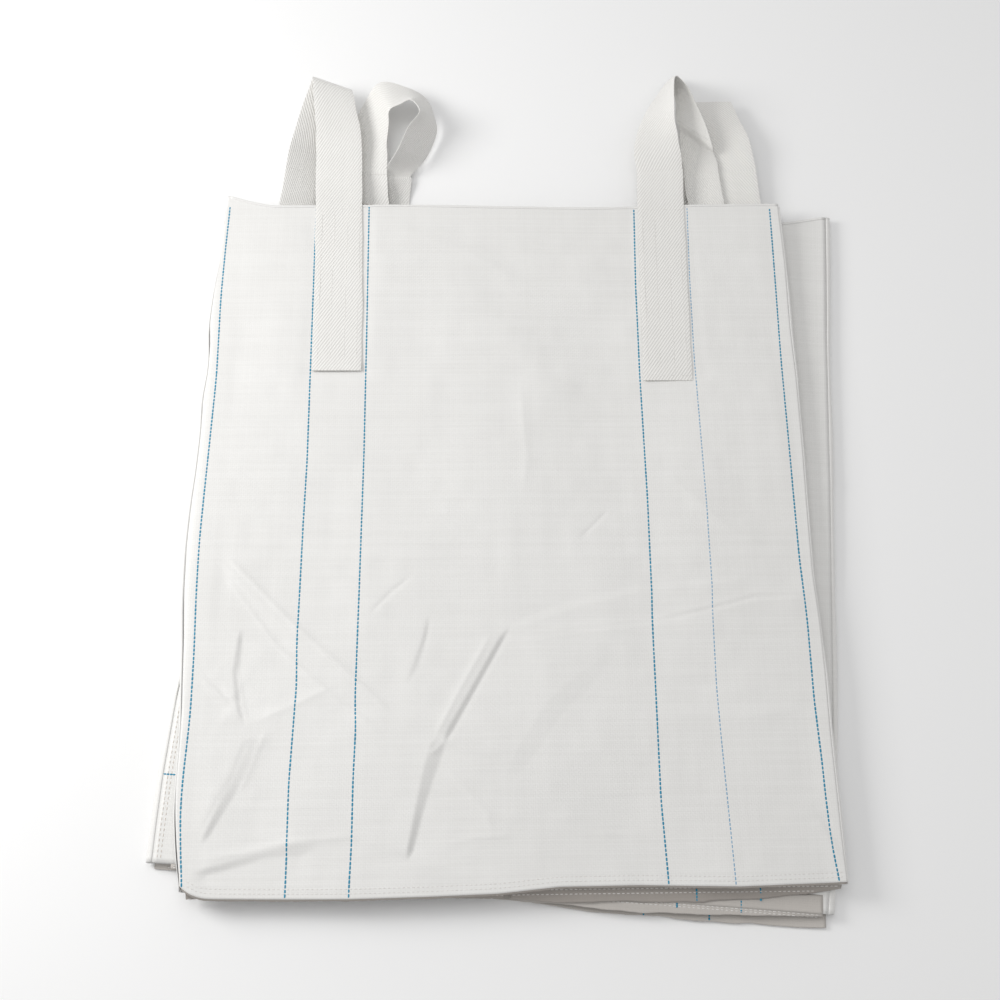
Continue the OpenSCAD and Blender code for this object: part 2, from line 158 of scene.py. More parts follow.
def to_polyline(x, y, points):
    """Distance to a polyline, the side of it (+1 or -1) and the place along it, 0 to 1."""
    best = np.full(np.shape(x), 1e9)
    side = np.zeros(np.shape(x))
    place = np.zeros(np.shape(x))
    lengths = [math.dist(p, q) for p, q in zip(points, points[1:])]
    done = 0
    for p, q, length in zip(points, points[1:], lengths):
        dx, dy = (q[0] - p[0]) / length, (q[1] - p[1]) / length
        t = np.clip((x - p[0]) * dx + (y - p[1]) * dy, 0, length)
        off_x, off_y = x - p[0] - dx * t, y - p[1] - dy * t
        distance = np.hypot(off_x, off_y)
        nearer = distance < best
        best = np.where(nearer, distance, best)
        side = np.where(nearer, np.sign(dx * off_y - dy * off_x), side)
        place = np.where(nearer, (done + t) / sum(lengths), place)
        done += length
    return best, side, place


# ---------------------------------------------------------------- relief of the cloth
# Creases of the front panel: kind, points (x, y), height, reach, fade at the ends as a
# share of the length. A ridge is a crest. A band is a flat facet, with its start and end
# widths last; one side stands above the other and the rise dies away on both sides.
CREASES = [
    ("ridge", [(-448, 802), (-299, 793), (-11, 784), (120, 762)], 1.8, 8, .1),
    ("band", [(-448, 796), (-299, 787), (-11, 778), (120, 756)], -1.3, 60, .1, 12, 12),
    ("band", [(-434, 474), (-338, 362), (-240, 274), (-200, 244)], 2.3, 90, .12, 8, 34),
    ("ridge", [(-424, 486), (-322, 380), (-222, 288), (-170, 240)], 1.5, 4, .1),
    ("ridge", [(-428, 462), (-340, 344), (-246, 258), (-186, 214)], 1.3, 4, .1),
    ("band", [(-392, 372), (-396, 308), (-384, 250), (-376, 226)], -2.6, 50, .16, 3, 17),
    ("ridge", [(-398, 316), (-388, 256), (-378, 224)], -1.6, 3, .2),
    ("band", [(-362, 214), (-382, 160), (-401, 120), (-430, 60)], -3.6, 55, .12, 26, 5),
    ("ridge", [(-372, 216), (-394, 152), (-416, 108), (-436, 62)], -1.0, 4, .2),
    ("ridge", [(-348, 222), (-368, 166), (-384, 128)], 1.2, 5, .2),
    ("ridge", [(-444, 302), (-420, 282), (-394, 252)], -1.7, 3, .2),
    ("band", [(-450, 290), (-426, 270), (-396, 252)], 1.8, 40, .2, 4, 14),
    ("ridge", [(-372, 230), (-320, 252), (-250, 285)], 1.2, 6, .25),
    ("band", [(-446, 22), (-400, 30), (-350, 42), (-270, 58)], 3.6, 50, .2, 6, 20),
    ("ridge", [(-440, 40), (-370, 50), (-310, 64), (-200, 72)], 1.4, 6, .25),
    ("ridge", [(-440, 14), (-400, 20), (-340, 28)], -1.6, 5, .25),
    ("band", [(-117, 388), (-130, 335), (-147, 282)], -1.7, 40, .3, 5, 5),
    ("ridge", [(-117, 392), (-128, 345), (-150, 280)], -1.2, 2.6, .2),
    ("ridge", [(-146, 448), (-175, 424), (-208, 388)], -1.2, 2.6, .2),
    ("ridge", [(150, 553), (130, 532), (104, 506)], -1.0, 2.6, .2),
    ("band", [(-2, 372), (-58, 272), (-100, 196)], -2.8, 70, .14, 5, 11),
    ("ridge", [(-6, 366), (-58, 270), (-102, 190)], -1.8, 3, .12),
    ("ridge", [(-26, 366), (-78, 272), (-116, 196)], 1.3, 5, .2),
    ("band", [(-104, 208), (-122, 148), (-134, 100), (-149, 36)], -4.4, 50, .1, 22, 4),
    ("ridge", [(-92, 206), (-108, 190), (-120, 180)], 1.3, 4, .2),
    ("band", [(-11, 366), (85, 402), (190, 428), (355, 443)], -1.5, 60, .12, 14, 8),
    ("band", [(5, 349), (110, 364), (209, 375), (299, 395), (360, 412), (457, 414)],
     -2.0, 60, .1, 9, 9),
    ("ridge", [(5, 354), (110, 370), (209, 381), (299, 401), (360, 418), (457, 420)],
     1.4, 5, .1),
    ("ridge", [(209, 375), (299, 395), (360, 412), (430, 415)], -1.2, 3, .2),
    ("band", [(424, 95), (440, 60), (455, 22)], -2.4, 30, .2, 5, 5),
    ("ridge", [(420, 98), (438, 60), (452, 26)], -1.4, 3, .2),
    ("ridge", [(-445, 545), (-300, 528), (-160, 505), (-60, 470)], 1.4, 12, .2),
    ("band", [(-445, 520), (-300, 505), (-164, 486)], -1.6, 80, .2, 20, 20),
    ("ridge", [(-215, 1075), (-60, 1010), (60, 930)], .9, 18, .3),
    ("ridge", [(20, 780), (28, 640), (20, 560)], .8, 8, .3),
    ("ridge", [(-230, 690), (-60, 700), (120, 690)], .8, 14, .3),
    ("ridge", [(215, 640), (330, 520), (430, 470)], 1.1, 16, .3),
    ("ridge", [(200, 250), (320, 230), (440, 250)], 1.1, 16, .3),
    ("ridge", [(260, 720), (350, 700), (450, 705)], 1.0, 10, .3),
    ("ridge", [(-440, 640), (-330, 655), (-200, 640)], .9, 12, .3),
    ("band", [(-60, 250), (0, 214), (160, 190)], -1.4, 60, .3, 30, 30),
    ("band", [(-20, 130), (60, 250), (150, 330)], 1.4, 60, .3, 26, 26),
    ("ridge", [(-100, 60), (-60, 66), (0, 70)], .9, 4, .3),
    ("ridge", [(-100, 170), (-40, 100), (-30, 60)], .8, 6, .3),
]


def near_legs(x, y, half_width, start):
    """1 along the two sewn loop legs of a panel, falling to 0 beside and below them."""
    return np.maximum(0, np.maximum(*[
        smooth((half_width - np.abs(x - centre)) / 24) * smooth((y - start) / 20)
        for centre in (-267, 267)]))


def front_relief(x, y):
    relief = (2.6 * noise_a(x / 170 + 7, y / 210 + 3) + 1.3 * noise_b(x / 70 + 5, y / 95 + 9)
              + .35 * noise_c(x / 24, y / 33 + 40))
    # fine wrinkles across the panel, in patches
    patches = smooth(noise_a(x / 120, y / 90 + 60) + .4)
    relief = relief + .22 * noise_d(x / 70, y / 7 + 20) * patches
    for kind, points, height, reach, fade, *widths in CREASES:
        distance, side, place = to_polyline(x, y, points)
        faded = smooth(place / fade) * smooth((1 - place) / fade)
        if kind == "ridge":
            relief = relief + height * faded * np.exp(-(distance / reach) ** 1.2)
        else:
            start, end = widths
            half = (start + (end - start) * place) * (.35 + .65 * faded) / 2
            relief = relief + (height * faded * side * np.minimum(distance / half, 1) / 2
                               * np.exp(-np.maximum(distance - half, 0) / reach))
    # the lower right corner lies lower
    relief = relief - 2.5 * smooth((x - 230) / 230) * smooth((460 - y) / 330)
    # the rim and the loops' sewn legs hold the cloth flatter
    relief = (relief * (1 - .75 * near_legs(x, y, half_width=62, start=765))
              * (1 - .45 * smooth((y - 1040) / 50)))
    relief = relief * (.35 + .65 * smooth((HALF_WIDTH - 4 - np.abs(x)) / 30))
    return np.clip(relief, -6.5, 13)


def side_relief(x, y, seed):
    x, y = np.asarray(x, float), np.asarray(y, float)
    relief = (1.1 * noise_b(x / 90 + 13 * seed, y / 140 + 5 * seed)
              + .4 * noise_c(x / 30 + seed, y / 60))
    return (relief + 1.4 * np.exp(-np.abs(y - 640 - 60 * noise_a(x / 200, seed)) / 9)
            + 1.0 * np.exp(-np.abs(y - 300 - .12 * x) / 8))


def z_front(x, y):
    """Upper face of the front panel, always above the side panels and the base under it."""
    x, y = np.asarray(x, float), np.asarray(y, float)
    below = np.where(x < 0, side_relief(x, y, 1), side_relief(x, y, 2))
    z = np.maximum(Z_FRONT + front_relief(x, y), Z_SIDE_FRONT + SIDE_THICK + .8 * below + 1.7)
    off_base = np.abs(x) > 455 * (1.01 - np.maximum(y, 0) / 450)
    return np.maximum(z, Z_BASE_FRONT + 1.3 - 30 * off_base)


# Ridges of the rear panel: points (x, y), height, reach
REAR_RIDGES = [
    ([(-448, 560), (-200, 600), (40, 590), (450, 640)], 1.6, 9),
    ([(-300, 20), (-120, 300), (60, 480)], 1.4, 10),
    ([(300, 40), (240, 330), (420, 500)], 1.3, 10),
]


def z_rear(x, y):
    """Upper face of the rear panel."""
    x, y = np.asarray(x, float), np.asarray(y, float)
    relief = .6 + .5 * noise_a(x / 130 + 21, y / 160) + .3 * noise_b(x / 50, y / 70 + 31)
    for points, height, reach in REAR_RIDGES:
        relief = relief + height * np.exp(-(to_polyline(x, y, points)[0] / reach))
    return Z_REAR + relief * (1 - near_legs(x, y, half_width=70, start=760))


def under(height):
    """Lower face of a sheet, from its upper face."""
    return lambda x, y: height(x, y) - CLOTH


# ---------------------------------------------------------------- outlines of the panels
# Left and right edges and the left edge's bulge: (y, x). Bottom and top edges: (x, y).
FRONT_LEFT = outline([
    (0, -452), (32, -456), (104, -462), (148, -462), (241, -458), (333, -459), (416, -462),
    (499, -463), (552, -462), (647, -459), (713, -457), (783, -455), (927, -457),
    (1017, -455), (1100, -452)])
FRONT_RIGHT = outline([
    (0, 452), (60, 451), (210, 451), (290, 453), (377, 453), (441, 450), (499, 451),
    (567, 453), (674, 456), (777, 458), (868, 457), (979, 460), (1100, 459)])
LEFT_BULGE = outline([
    (0, 3), (60, 9), (180, 12), (266, 19), (400, 26), (484, 27), (572, 25), (617, 22),
    (689, 21), (739, 25), (807, 17), (868, 22), (947, 14), (994, 7), (1060, 9), (1100, 5)])
FRONT_BOTTOM = outline([
    (-462, 14), (-450, 2), (-436, -6), (-420, -10), (-300, -12), (-226, -13), (-118, -11),
    (-24, -8), (58, 0), (167, 1), (304, -3), (400, 0), (460, 2)], reach=5)
FRONT_TOP = outline([
    (-462, 1120), (-444, 1115), (-420, 1107), (-396, 1101), (-380, 1098), (-300, 1099),
    (-155, 1100), (0, 1098), (143, 1096), (226, 1098), (330, 1102), (460, 1103)], reach=9)
REAR_LEFT = outline([
    (0, -474), (45, -476), (121, -478), (245, -477), (330, -469), (450, -458), (600, -449),
    (900, -451), (1100, -450)])
REAR_RIGHT = outline([
    (0, 453), (60, 458), (200, 463), (304, 466), (622, 469), (900, 469), (1040, 471),
    (1150, 472)])
REAR_TOP_FREE = profile([
    (-500, 1100), (290, 1101), (350, 1108), (410, 1122), (473, 1139)])


def rear_top(x):
    """Top edge of the rear layers: under the front rim on the left, out on the right."""
    cap = HALF_HEIGHT + (TOP - 7 - REAR_CENTRE[1] + x * math.sin(TURN)) / math.cos(TURN)
    return np.minimum(REAR_TOP_FREE(x), np.maximum(cap, 1040))


def straight_bottom(x):
    return 0 * x


def front_left_out(y):
    """Left edge of the front sheet, out in the bulge."""
    return FRONT_LEFT(y) - .65 * LEFT_BULGE(y)


def z_front_out(x, y):
    """The front panel rolls down a little past its left marker thread."""
    past = np.clip((FRONT_LEFT(y) - x) / 14, 0, 1.5)
    return z_front(x, y) - 2.0 * past ** 2


# Seam allowance below a bottom edge: width as a function of x, and drop at its raw edge
Allowance = namedtuple("Allowance", "width drop")
FRONT_ALLOWANCE = Allowance(lambda x: 2.2 + 0 * x, 2.6)
SIDE_FRONT_ALLOWANCE = Allowance(profile([
    (-450, 8), (-20, 12), (60, 18), (250, 20), (330, 17), (400, 11), (440, 6), (460, 3)]), 6.5)
SIDE_REAR_ALLOWANCE = Allowance(profile([
    (-450, 6), (-20, 7), (40, 13), (196, 17), (300, 12), (400, 6), (450, 3)]), 2.4)
REAR_ALLOWANCE = Allowance(profile([
    (-470, 7), (-300, 7), (0, 12), (142, 19), (286, 20), (400, 19), (450, 18)]), .6)


def z_with_allowance(height, allowance):
    """Upper face of a panel and of the seam allowance below it."""
    def combined(x, y):
        t = np.clip((1 - y) / (allowance.width(x) + 1), 0, 1)
        return height(x, np.maximum(y, 0)) + .25 - allowance.drop * t ** 1.2
    return combined


class SideHalf:
    """One half of a folded side panel, next to the front or the rear panel."""

    def __init__(self, name, seed):
        self.name = name
        self.seed = seed
        self.left = name.startswith("left")
        self.sign = -1 if self.left else 1
        self.rear = name.endswith("rear")
        if self.rear:
            self.frame, self.crease, self.level = rear_frame, rear_crease, Z_SIDE_REAR
            self.edge = REAR_LEFT if self.left else REAR_RIGHT
            self.allowance = SIDE_REAR_ALLOWANCE
        else:
            self.frame, self.crease, self.level = front_frame, front_crease, Z_SIDE_FRONT
            self.edge = FRONT_LEFT if self.left else FRONT_RIGHT
            self.allowance = SIDE_FRONT_ALLOWANCE
        self.z_seam = z_with_allowance(self.z, self.allowance)

    def z(self, x, y):
        """Upper face."""
        return self.level + SIDE_THICK + side_relief(x, y, self.seed) * .8

    def span(self, y, gap, outer):
        """Ends in x of a strip from the outer edge to the crease, left one first."""
        crease = self.crease(y) + self.sign * gap
        return (-outer, crease) if self.left else (crease, outer)


SIDES = [SideHalf(name, seed) for seed, name in enumerate(
    ("left_side_front", "right_side_front", "left_side_rear", "right_side_rear"), 1)]
LEFT_FRONT, RIGHT_FRONT, LEFT_REAR, RIGHT_REAR = SIDES


# ---------------------------------------------------------------- mesh helpers
def add_object(name, mesh, material):
    ob = bpy.data.objects.new(name, mesh)
    bpy.context.collection.objects.link(ob)
    mesh.materials.append(material)
    return ob


def polygon_mesh(name, points, faces):
    mesh = bpy.data.meshes.new(name)
    mesh.from_pydata([tuple(point) for point in np.asarray(points) / 1000], [], faces)
    mesh.polygons.foreach_set("use_smooth", [True] * len(mesh.polygons))
    mesh.update()
    return mesh


def register(ob, body, node=None):
    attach(ob, body)
    if node:
        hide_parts(node)


def sheet(name, points, uv, thickness, material, facing=None):
    """A closed thin sheet hanging along its normals below an n x m grid of points."""
    n, m = points.shape[:2]
    normals = np.cross(np.gradient(points, axis=0), np.gradient(points, axis=1))
    normals /= np.linalg.norm(normals, axis=2)[..., None] + 1e-12
    if facing is not None and normals[n // 2, m // 2] @ np.array(facing) < 0:
        points, uv, normals = points[:, ::-1], uv[:, ::-1], -normals[:, ::-1]
    lower = points - normals * thickness
    coordinates = np.concatenate([points.reshape(-1, 3), lower.reshape(-1, 3)]) / 1000
    index = np.arange(n * m).reshape(n, m)
    a, b = index[:-1, :-1].ravel(), index[1:, :-1].ravel()
    c, d = index[1:, 1:].ravel(), index[:-1, 1:].ravel()
    below = n * m
    rim = np.concatenate([index[0], index[1:, -1], index[-1, -2::-1], index[-2:0:-1, 0]])
    rim_next = np.roll(rim, -1)
    faces = np.concatenate([
        np.stack([a, b, c, d], 1),
        np.stack([a, d, c, b], 1) + below,
        np.stack([rim, rim_next, rim_next + below, rim + below], 1)])
    mesh = bpy.data.meshes.new(name)
    mesh.vertices.add(len(coordinates))
    mesh.vertices.foreach_set("co", coordinates.ravel())
    mesh.loops.add(faces.size)
    mesh.loops.foreach_set("vertex_index", faces.ravel().astype(np.int32))
    mesh.polygons.add(len(faces))
    mesh.polygons.foreach_set("loop_start", np.arange(0, faces.size, 4, dtype=np.int32))
    mesh.polygons.foreach_set("loop_total", np.full(len(faces), 4, np.int32))
    mesh.update()
    corner_uv = np.concatenate([uv.reshape(-1, 2)] * 2)[faces.ravel()] / 1000
    mesh.uv_layers.new(name="UVMap").data.foreach_set("uv", corner_uv.ravel())
    mesh.polygons.foreach_set("use_smooth", np.ones(len(faces), bool))
    mesh.validate()
    mesh.update()
    return add_object(name, mesh, material)


def parameter_grid(nx, ny):
    return np.meshgrid(np.linspace(0, 1, nx), np.linspace(0, 1, ny), indexing="ij")


# ---------------------------------------------------------------- materials
class Shader:
    """A new material, with short ways to add nodes before its Principled shader."""

    def __init__(self, name):
        self.material = bpy.data.materials.new(name)
        self.material.use_nodes = True
        self.tree = self.material.node_tree

    def feed(self, node, inputs):
        for key, value in inputs.items():
            if isinstance(value, bpy.types.NodeSocket):
                self.tree.links.new(value, node.inputs[key])
            else:
                node.inputs[key].default_value = value

    def principled(self, inputs):
        self.feed(self.tree.nodes["Principled BSDF"], inputs)

    def node(self, kind, inputs, **settings):
        """Add a node and return its outputs."""
        node = self.tree.nodes.new("ShaderNode" + kind)
        for key, value in settings.items():
            setattr(node, key, value)
        self.feed(node, inputs)
        return node.outputs

    def math(self, operation, *values):
        return self.node("Math", dict(enumerate(values)), operation=operation)[0]

    def wave(self, phase):
        """A sine from 0 to 1."""
        return self.math("ADD", self.math("MULTIPLY", self.math("SINE", phase), .5), .5)

    def weighted(self, *terms):
        """Sum of (value, weight) terms."""
        total = None
        for value, weight in terms:
            term = self.math("MULTIPLY", value, weight)
            total = self.math("ADD", total, term) if total else term
        return total

    def uv(self):
        """The UV map, and its two parts."""
        uv = self.node("UVMap", {}, uv_map="UVMap")[0]
        parts = self.node("SeparateXYZ", {0: uv})
        return uv, parts[0], parts[1]

    def noise(self, vector, scale, detail=3, roughness=.55, stretch=None):
        if stretch:
            vector = self.node("Mapping", {"Scale": stretch, "Vector": vector})[0]
        return self.node("TexNoise", {"Scale": scale, "Detail": detail,
                                      "Roughness": roughness, "Vector": vector})["Fac"]

    def ramp(self, factor, stops):
        node = self.tree.nodes.new("ShaderNodeValToRGB")
        elements = node.color_ramp.elements
        while len(elements) < len(stops):
            elements.new(.5)
        for element, (position, color) in zip(elements, stops):
            element.position = position
            element.color = (*color, 1)
        self.tree.links.new(factor, node.inputs[0])
        return node.outputs[0]

    def bump(self, height, strength, distance):
        bump = self.node("Bump", {"Strength": strength, "Distance": distance,
                                  "Height": height})[0]
        self.principled({"Normal": bump})


def cloth_material(name, tint=(1, 1, 1), dirt=.0):
    """Woven polypropylene tapes, 3.2 mm wide, with a thin shiny coating."""
    shader = Shader(name)
    calc = shader.math
    uv, u, v = shader.uv()
    column, row = [calc("MULTIPLY", part, 1 / .0032) for part in (u, v)]
    crown_u, crown_v = [calc("ABSOLUTE", calc("SINE", calc("MULTIPLY", part, math.pi)))
                        for part in (column, row)]
    cell = calc("ADD", calc("FLOOR", column), calc("FLOOR", row))
    checker = calc("MODULO", calc("ADD", cell, 4000.0), 2.0)
    over = calc("ADD", calc("MULTIPLY", crown_u, checker),
                calc("MULTIPLY", crown_v, calc("SUBTRACT", 1.0, checker)))
    weave = calc("POWER", over, .45)
    # tape to tape variation: streaks along each direction
    row_tone = shader.node("TexWhiteNoise", {"W": calc("FLOOR", row)},
                           noise_dimensions="1D")[0]
    column_tone = shader.node("TexWhiteNoise", {"W": calc("FLOOR", calc("ADD", column, 900.0))},
                              noise_dimensions="1D")[0]
    streaks_u = shader.noise(uv, scale=1.0, detail=4, roughness=.6, stretch=(9, 260, 1))
    streaks_v = shader.noise(uv, scale=1.0, detail=3, roughness=.6, stretch=(240, 7, 1))
    broad = shader.noise(uv, scale=3.2, detail=4, roughness=.6)
    fine = shader.noise(uv, scale=26, detail=5, roughness=.7)
    tone = shader.weighted((row_tone, .10), (column_tone, .05), (streaks_u, .26),
                           (streaks_v, .07), (broad, .34), (fine, .08))
    stops = [(.26, (.775, .767, .748)), (.46, (.815, .808, .790)), (.66, (.85, .844, .828))]
    # tint and darkening scale the ramp's colours; on the seam cloths they are painted shade
    color = shader.ramp(tone, [
        (position, [value * (1 - dirt) * part for value, part in zip(rgb, tint)])
        for position, rgb in stops])
    # painted shade: gaps between tapes are a little darker
    shade = calc("ADD", calc("MULTIPLY", weave, .05), .95)
    grey = shader.node("CombineColor", dict.fromkeys(range(3), shade))[0]
    # inputs 0, 6 and 7 are the factor and the two colors
    mixed = shader.node("Mix", {0: 1, 6: color, 7: grey}, data_type="RGBA",
                        blend_type="MULTIPLY")[2]
    # small glossy specks, in patches
    rough = calc("ADD", shader.weighted((fine, .22), (streaks_u, .18)), .26)
    cells = shader.node("TexVoronoi", {"Scale": 130, "Vector": uv})["Distance"]
    patches = shader.noise(uv, scale=7, detail=3, roughness=.6)
    gloss = calc("MULTIPLY", calc("LESS_THAN", cells, .13), calc("GREATER_THAN", patches, .56))
    shader.principled({
        "Base Color": mixed,
        "Roughness": calc("SUBTRACT", rough, calc("MULTIPLY", gloss, .22)),
        "Specular IOR Level": .45,
        "Sheen Weight": .12,
        "Coat Weight": .1,
        "Coat Roughness": .35})
    height = shader.weighted((weave, .55), (streaks_u, .8), (fine, .9), (row_tone, .25))
    shader.bump(height, strength=.42, distance=.0006)
    return shader.material


def webbing_material(name):
    """Multifilament webbing with slanting twill ribs, 7.8 mm apart along it."""
    shader = Shader(name)
    calc = shader.math
    uv, u, v = shader.uv()
    slant = calc("SUBTRACT", v, calc("MULTIPLY", u, 1.55))
    twill = shader.wave(calc("MULTIPLY", slant, 2 * math.pi / .0078))
    cords = shader.wave(calc("MULTIPLY", u, 2 * math.pi / .0016))
    fibres = shader.noise(uv, scale=320, detail=3, roughness=.6)
    broad = shader.noise(uv, scale=9, detail=4, roughness=.6)
    tone = shader.weighted((twill, .42), (fibres, .25), (broad, .33))
    color = shader.ramp(tone, [(.16, (.745, .73, .70)), (.45, (.82, .808, .78)),
                               (.8, (.875, .866, .842))])
    shader.principled({"Base Color": color, "Roughness": .68, "Sheen Weight": .35,
                       "Sheen Roughness": .5})
    height = shader.weighted((twill, 1.0), (cords, .3), (fibres, .35))
    shader.bump(height, strength=.6, distance=.0009)
    return shader.material


def thread_material(name, dark, light, roughness=.5):
    shader = Shader(name)
    place = shader.node("TexCoord", {})["Object"]
    tone = shader.noise(place, scale=260, detail=3, roughness=.6)
    shader.principled({"Base Color": shader.ramp(tone, [(.3, dark), (.7, light)]),
                       "Roughness": roughness, "Sheen Weight": .2})
    shader.bump(shader.noise(place, scale=1500, detail=2), strength=.5, distance=.0003)
    return shader.material


OUTER_CLOTH = cloth_material("woven_cloth_outer")
INNER_CLOTH = cloth_material("woven_cloth_inner", tint=(.985, .98, .965), dirt=.05)
WEBBING = webbing_material("loop_webbing")
# painted shade: seam cloths greyed and browned for strips lying in shadow below the front edge,
# the second one a softer painted shade
SEAM_FABRIC_PAINTED_SHADE = cloth_material("woven_cloth_seam", tint=(.50, .46, .43), dirt=.06)
SEAM_FABRIC_SOFT_PAINTED_SHADE = cloth_material("woven_cloth_seam_light", tint=(.72, .685, .655), dirt=.06)
BLUE = thread_material("marker_thread_blue", dark=(.005, .19, .33), light=(.016, .29, .45))
FAINT_BLUE = thread_material("marker_thread_faint", dark=(.16, .33, .50), light=(.30, .47, .62))
PALE = thread_material("sewing_thread_pale", dark=(.62, .56, .50), light=(.75, .70, .65),
                       roughness=.6)
WHITE = thread_material("sewing_thread_white", dark=(.70, .68, .65), light=(.82, .80, .78),
                        roughness=.6)


# ---------------------------------------------------------------- panels and rim hems
HEM_WIDTH = 35
# Section of a hem turned over the rim, a narrow lip outside and the full hem inside:
# offset in y from the edge, offset in z from the face
HEM_SECTION = np.array([
    (-3.5, .25), (-1.2, .45), (.8, .2), (1.6, -.6), (.8, -1.6), (-3, -2.0),
    (-HEM_WIDTH * .5, -2.1), (-HEM_WIDTH, -1.9)])


def hem(name, body, xs, edge, frame, height, side):
    """side is 1 where the lip lies on the upper face, -1 where it lies below."""
    dy, dz = HEM_SECTION.T
    x = np.repeat(xs[:, None], len(dy), 1)
    y = edge(x) + dy
    girth = np.r_[0, np.cumsum(np.hypot(np.diff(dy), np.diff(dz)))]
    ob = sheet(name + "_cloth", model_points(frame, x, y, height(x, y) + dz * side),
               np.stack([x, girth + 0 * x], 2), .5, OUTER_CLOTH)
    register(ob, body, node=name)


def outer_panel(body, nx, ny, left, right, bottom, top, frame, height, u_offset):
    s, q = parameter_grid(nx, ny)
    y = q * RIM
    x = left(y) + (right(y) - left(y)) * s
    y = bottom(x) + (top(x) - bottom(x)) * q
    ob = sheet(body + "_panel_cloth", model_points(frame, x, y, height(x, y)),
               np.stack([x + u_offset, y], 2), CLOTH, OUTER_CLOTH, UP)
    register(ob, body, node=body + "_panel")


def side_panel(side):
    s, q = parameter_grid(70, 150)
    y = q * 1098
    edge = side.edge(y)
    x = edge + (side.crease(y) + 3 * side.sign - edge) * s
    if side.rear:
        y = q * (rear_top(x) - 2)
    ob = sheet(side.name + "_cloth", model_points(side.frame, x, y, side.z(x, y)),
               np.stack([x + 2000, y], 2), CLOTH, OUTER_CLOTH, UP)
    register(ob, side.name, node=side.name + "_half")


def side_hem(side):
    if side.left:
        outer = 448
    else:
        outer = 470 if side.rear else 450
    xs = np.linspace(*side.span(y=1090, gap=4, outer=outer), 70)
    name = side.name + "_hem"
    if side.rear:
        hem(name, side.name, xs, lambda x: rear_top(x) - 2, rear_frame, side.z, 1)
    else:
        hem(name, side.name, xs, lambda x: 1098 + 0 * x, front_frame, under(side.z), -1)


outer_panel("front", 330, 400, front_left_out, FRONT_RIGHT, FRONT_BOTTOM, FRONT_TOP,
            front_frame, z_front_out, u_offset=0)
hem("front_rim_hem", "front", np.linspace(-451, 458, 180), FRONT_TOP, front_frame, z_front, 1)
for side in SIDES:
    side_panel(side)
outer_panel("rear", 150, 180, REAR_LEFT, REAR_RIGHT, straight_bottom, rear_top,
            rear_frame, z_rear, u_offset=4000)
hem("rear_rim_hem", "rear", np.linspace(-448, 470, 120), rear_top, rear_frame,
    under(z_rear), -1)
for side in SIDES:
    side_hem(side)


# ---------------------------------------------------------------- folds joining the panels
def fold(name, upper, lower, bulge, side, top=1098):
    """A rolled edge from one sheet's edge round to the next one's.

    upper and lower are (frame, edge, height).
    """
    y = np.linspace(0, top, 150)
    t = np.linspace(0, 1, 15)
    above, below = [model_points(frame, edge(y), y, height(edge(y), y))[:, None]
                    for frame, edge, height in (upper, lower)]
    points = above + (below - above) * (.5 - .5 * np.cos(math.pi * t))[:, None]
    points[..., 0] += side * bulge(y)[:, None] * np.sin(math.pi * t) ** .8
    uv = np.stack(np.broadcast_arrays(t * 40, y[:, None]), 2)
    ob = sheet(name, points, uv, 1.1, OUTER_CLOTH, (side, 0, 0))
    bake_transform(ob)


def rear_bulge(y):
    return 7 + 3 * noise_b(y / 120, 8.2)


fold("left_front_fold", (front_frame, front_left_out, z_front_out),
     (front_frame, FRONT_LEFT, under(LEFT_FRONT.z)), lambda y: .35 * LEFT_BULGE(y), -1)
fold("right_front_fold", (front_frame, FRONT_RIGHT, z_front),
     (front_frame, FRONT_RIGHT, under(RIGHT_FRONT.z)),
     averaged(lambda y: 3.5 + 2 * noise_b(y / 90, 3.3)), 1)
fold("left_rear_fold", (rear_frame, REAR_LEFT, LEFT_REAR.z),
     (rear_frame, REAR_LEFT, under(z_rear)), rear_bulge, -1,
     top=float(rear_top(-450)) - 1)
fold("right_rear_fold", (rear_frame, REAR_RIGHT, RIGHT_REAR.z),
     (rear_frame, REAR_RIGHT, under(z_rear)), rear_bulge, 1,
     top=float(rear_top(466)) - 1)
# centre crease of the left side panel, deep inside the fold
fold("left_centre_fold", (front_frame, lambda y: front_crease(y) - 3, LEFT_FRONT.z),
     (rear_frame, lambda y: rear_crease(y) - 3, under(LEFT_REAR.z)), lambda y: 2.5 + 0 * y, 1)


def crease_lip(side, radius=2.6):
    """The right side panel's halves each end in a rolled lip at the crease."""
    steps = np.arange(8)
    angle = steps / 7 * math.pi / 2
    y = np.repeat(np.linspace(0, 1098, 120)[:, None], 8, 1)
    x = side.crease(y) + 3 - radius * np.sin(angle)
    roll = (1 if side.rear else -1) * radius * (1 - np.cos(angle))
    ob = sheet(side.name + "_crease_lip",
               model_points(side.frame, x, y, side.z(x, y) + roll),
               np.stack([x + steps, y], 2), 1.1, OUTER_CLOTH)
    register(ob, side.name)


crease_lip(RIGHT_FRONT)
crease_lip(RIGHT_REAR)


# ---------------------------------------------------------------- base
def base_triangle(part, frame, x_left, x_right, apex, seed):
    """Triangle of the base cloth, lying flat inside the fold."""
    body = "base_" + part
    s, t = parameter_grid(60, 40)
    t = t * .997                   # stops just short of the apex
    start = x_left + (apex[0] - x_left) * t
    end = x_right + (apex[0] - x_right) * t
    x = start + (end - start) * s
    y = .5 + (apex[1] - .5) * t
    z = box_mm(body + "_facet")[1][2] + .45 * noise_b(x / 60 + seed, y / 60)
    ob = sheet(body + "_cloth", model_points(frame, x, y, z), np.stack([x + 6000, y], 2),
               .9, INNER_CLOTH, UP)
    register(ob, body, node=body + "_facet")


base_triangle("front", front_frame, -449, 449, (0, 450), seed=1)
base_triangle("rear", rear_frame, -449, 449, (0, 450), seed=2)
for side in SIDES:
    x_left, x_right = side.span(y=0, gap=.4, outer=449)
    apex = (x_right if side.left else x_left, abs(x_right - x_left) * .998)
    base_triangle(side.name.replace("side_", ""), side.frame, x_left, x_right, apex, seed=3)


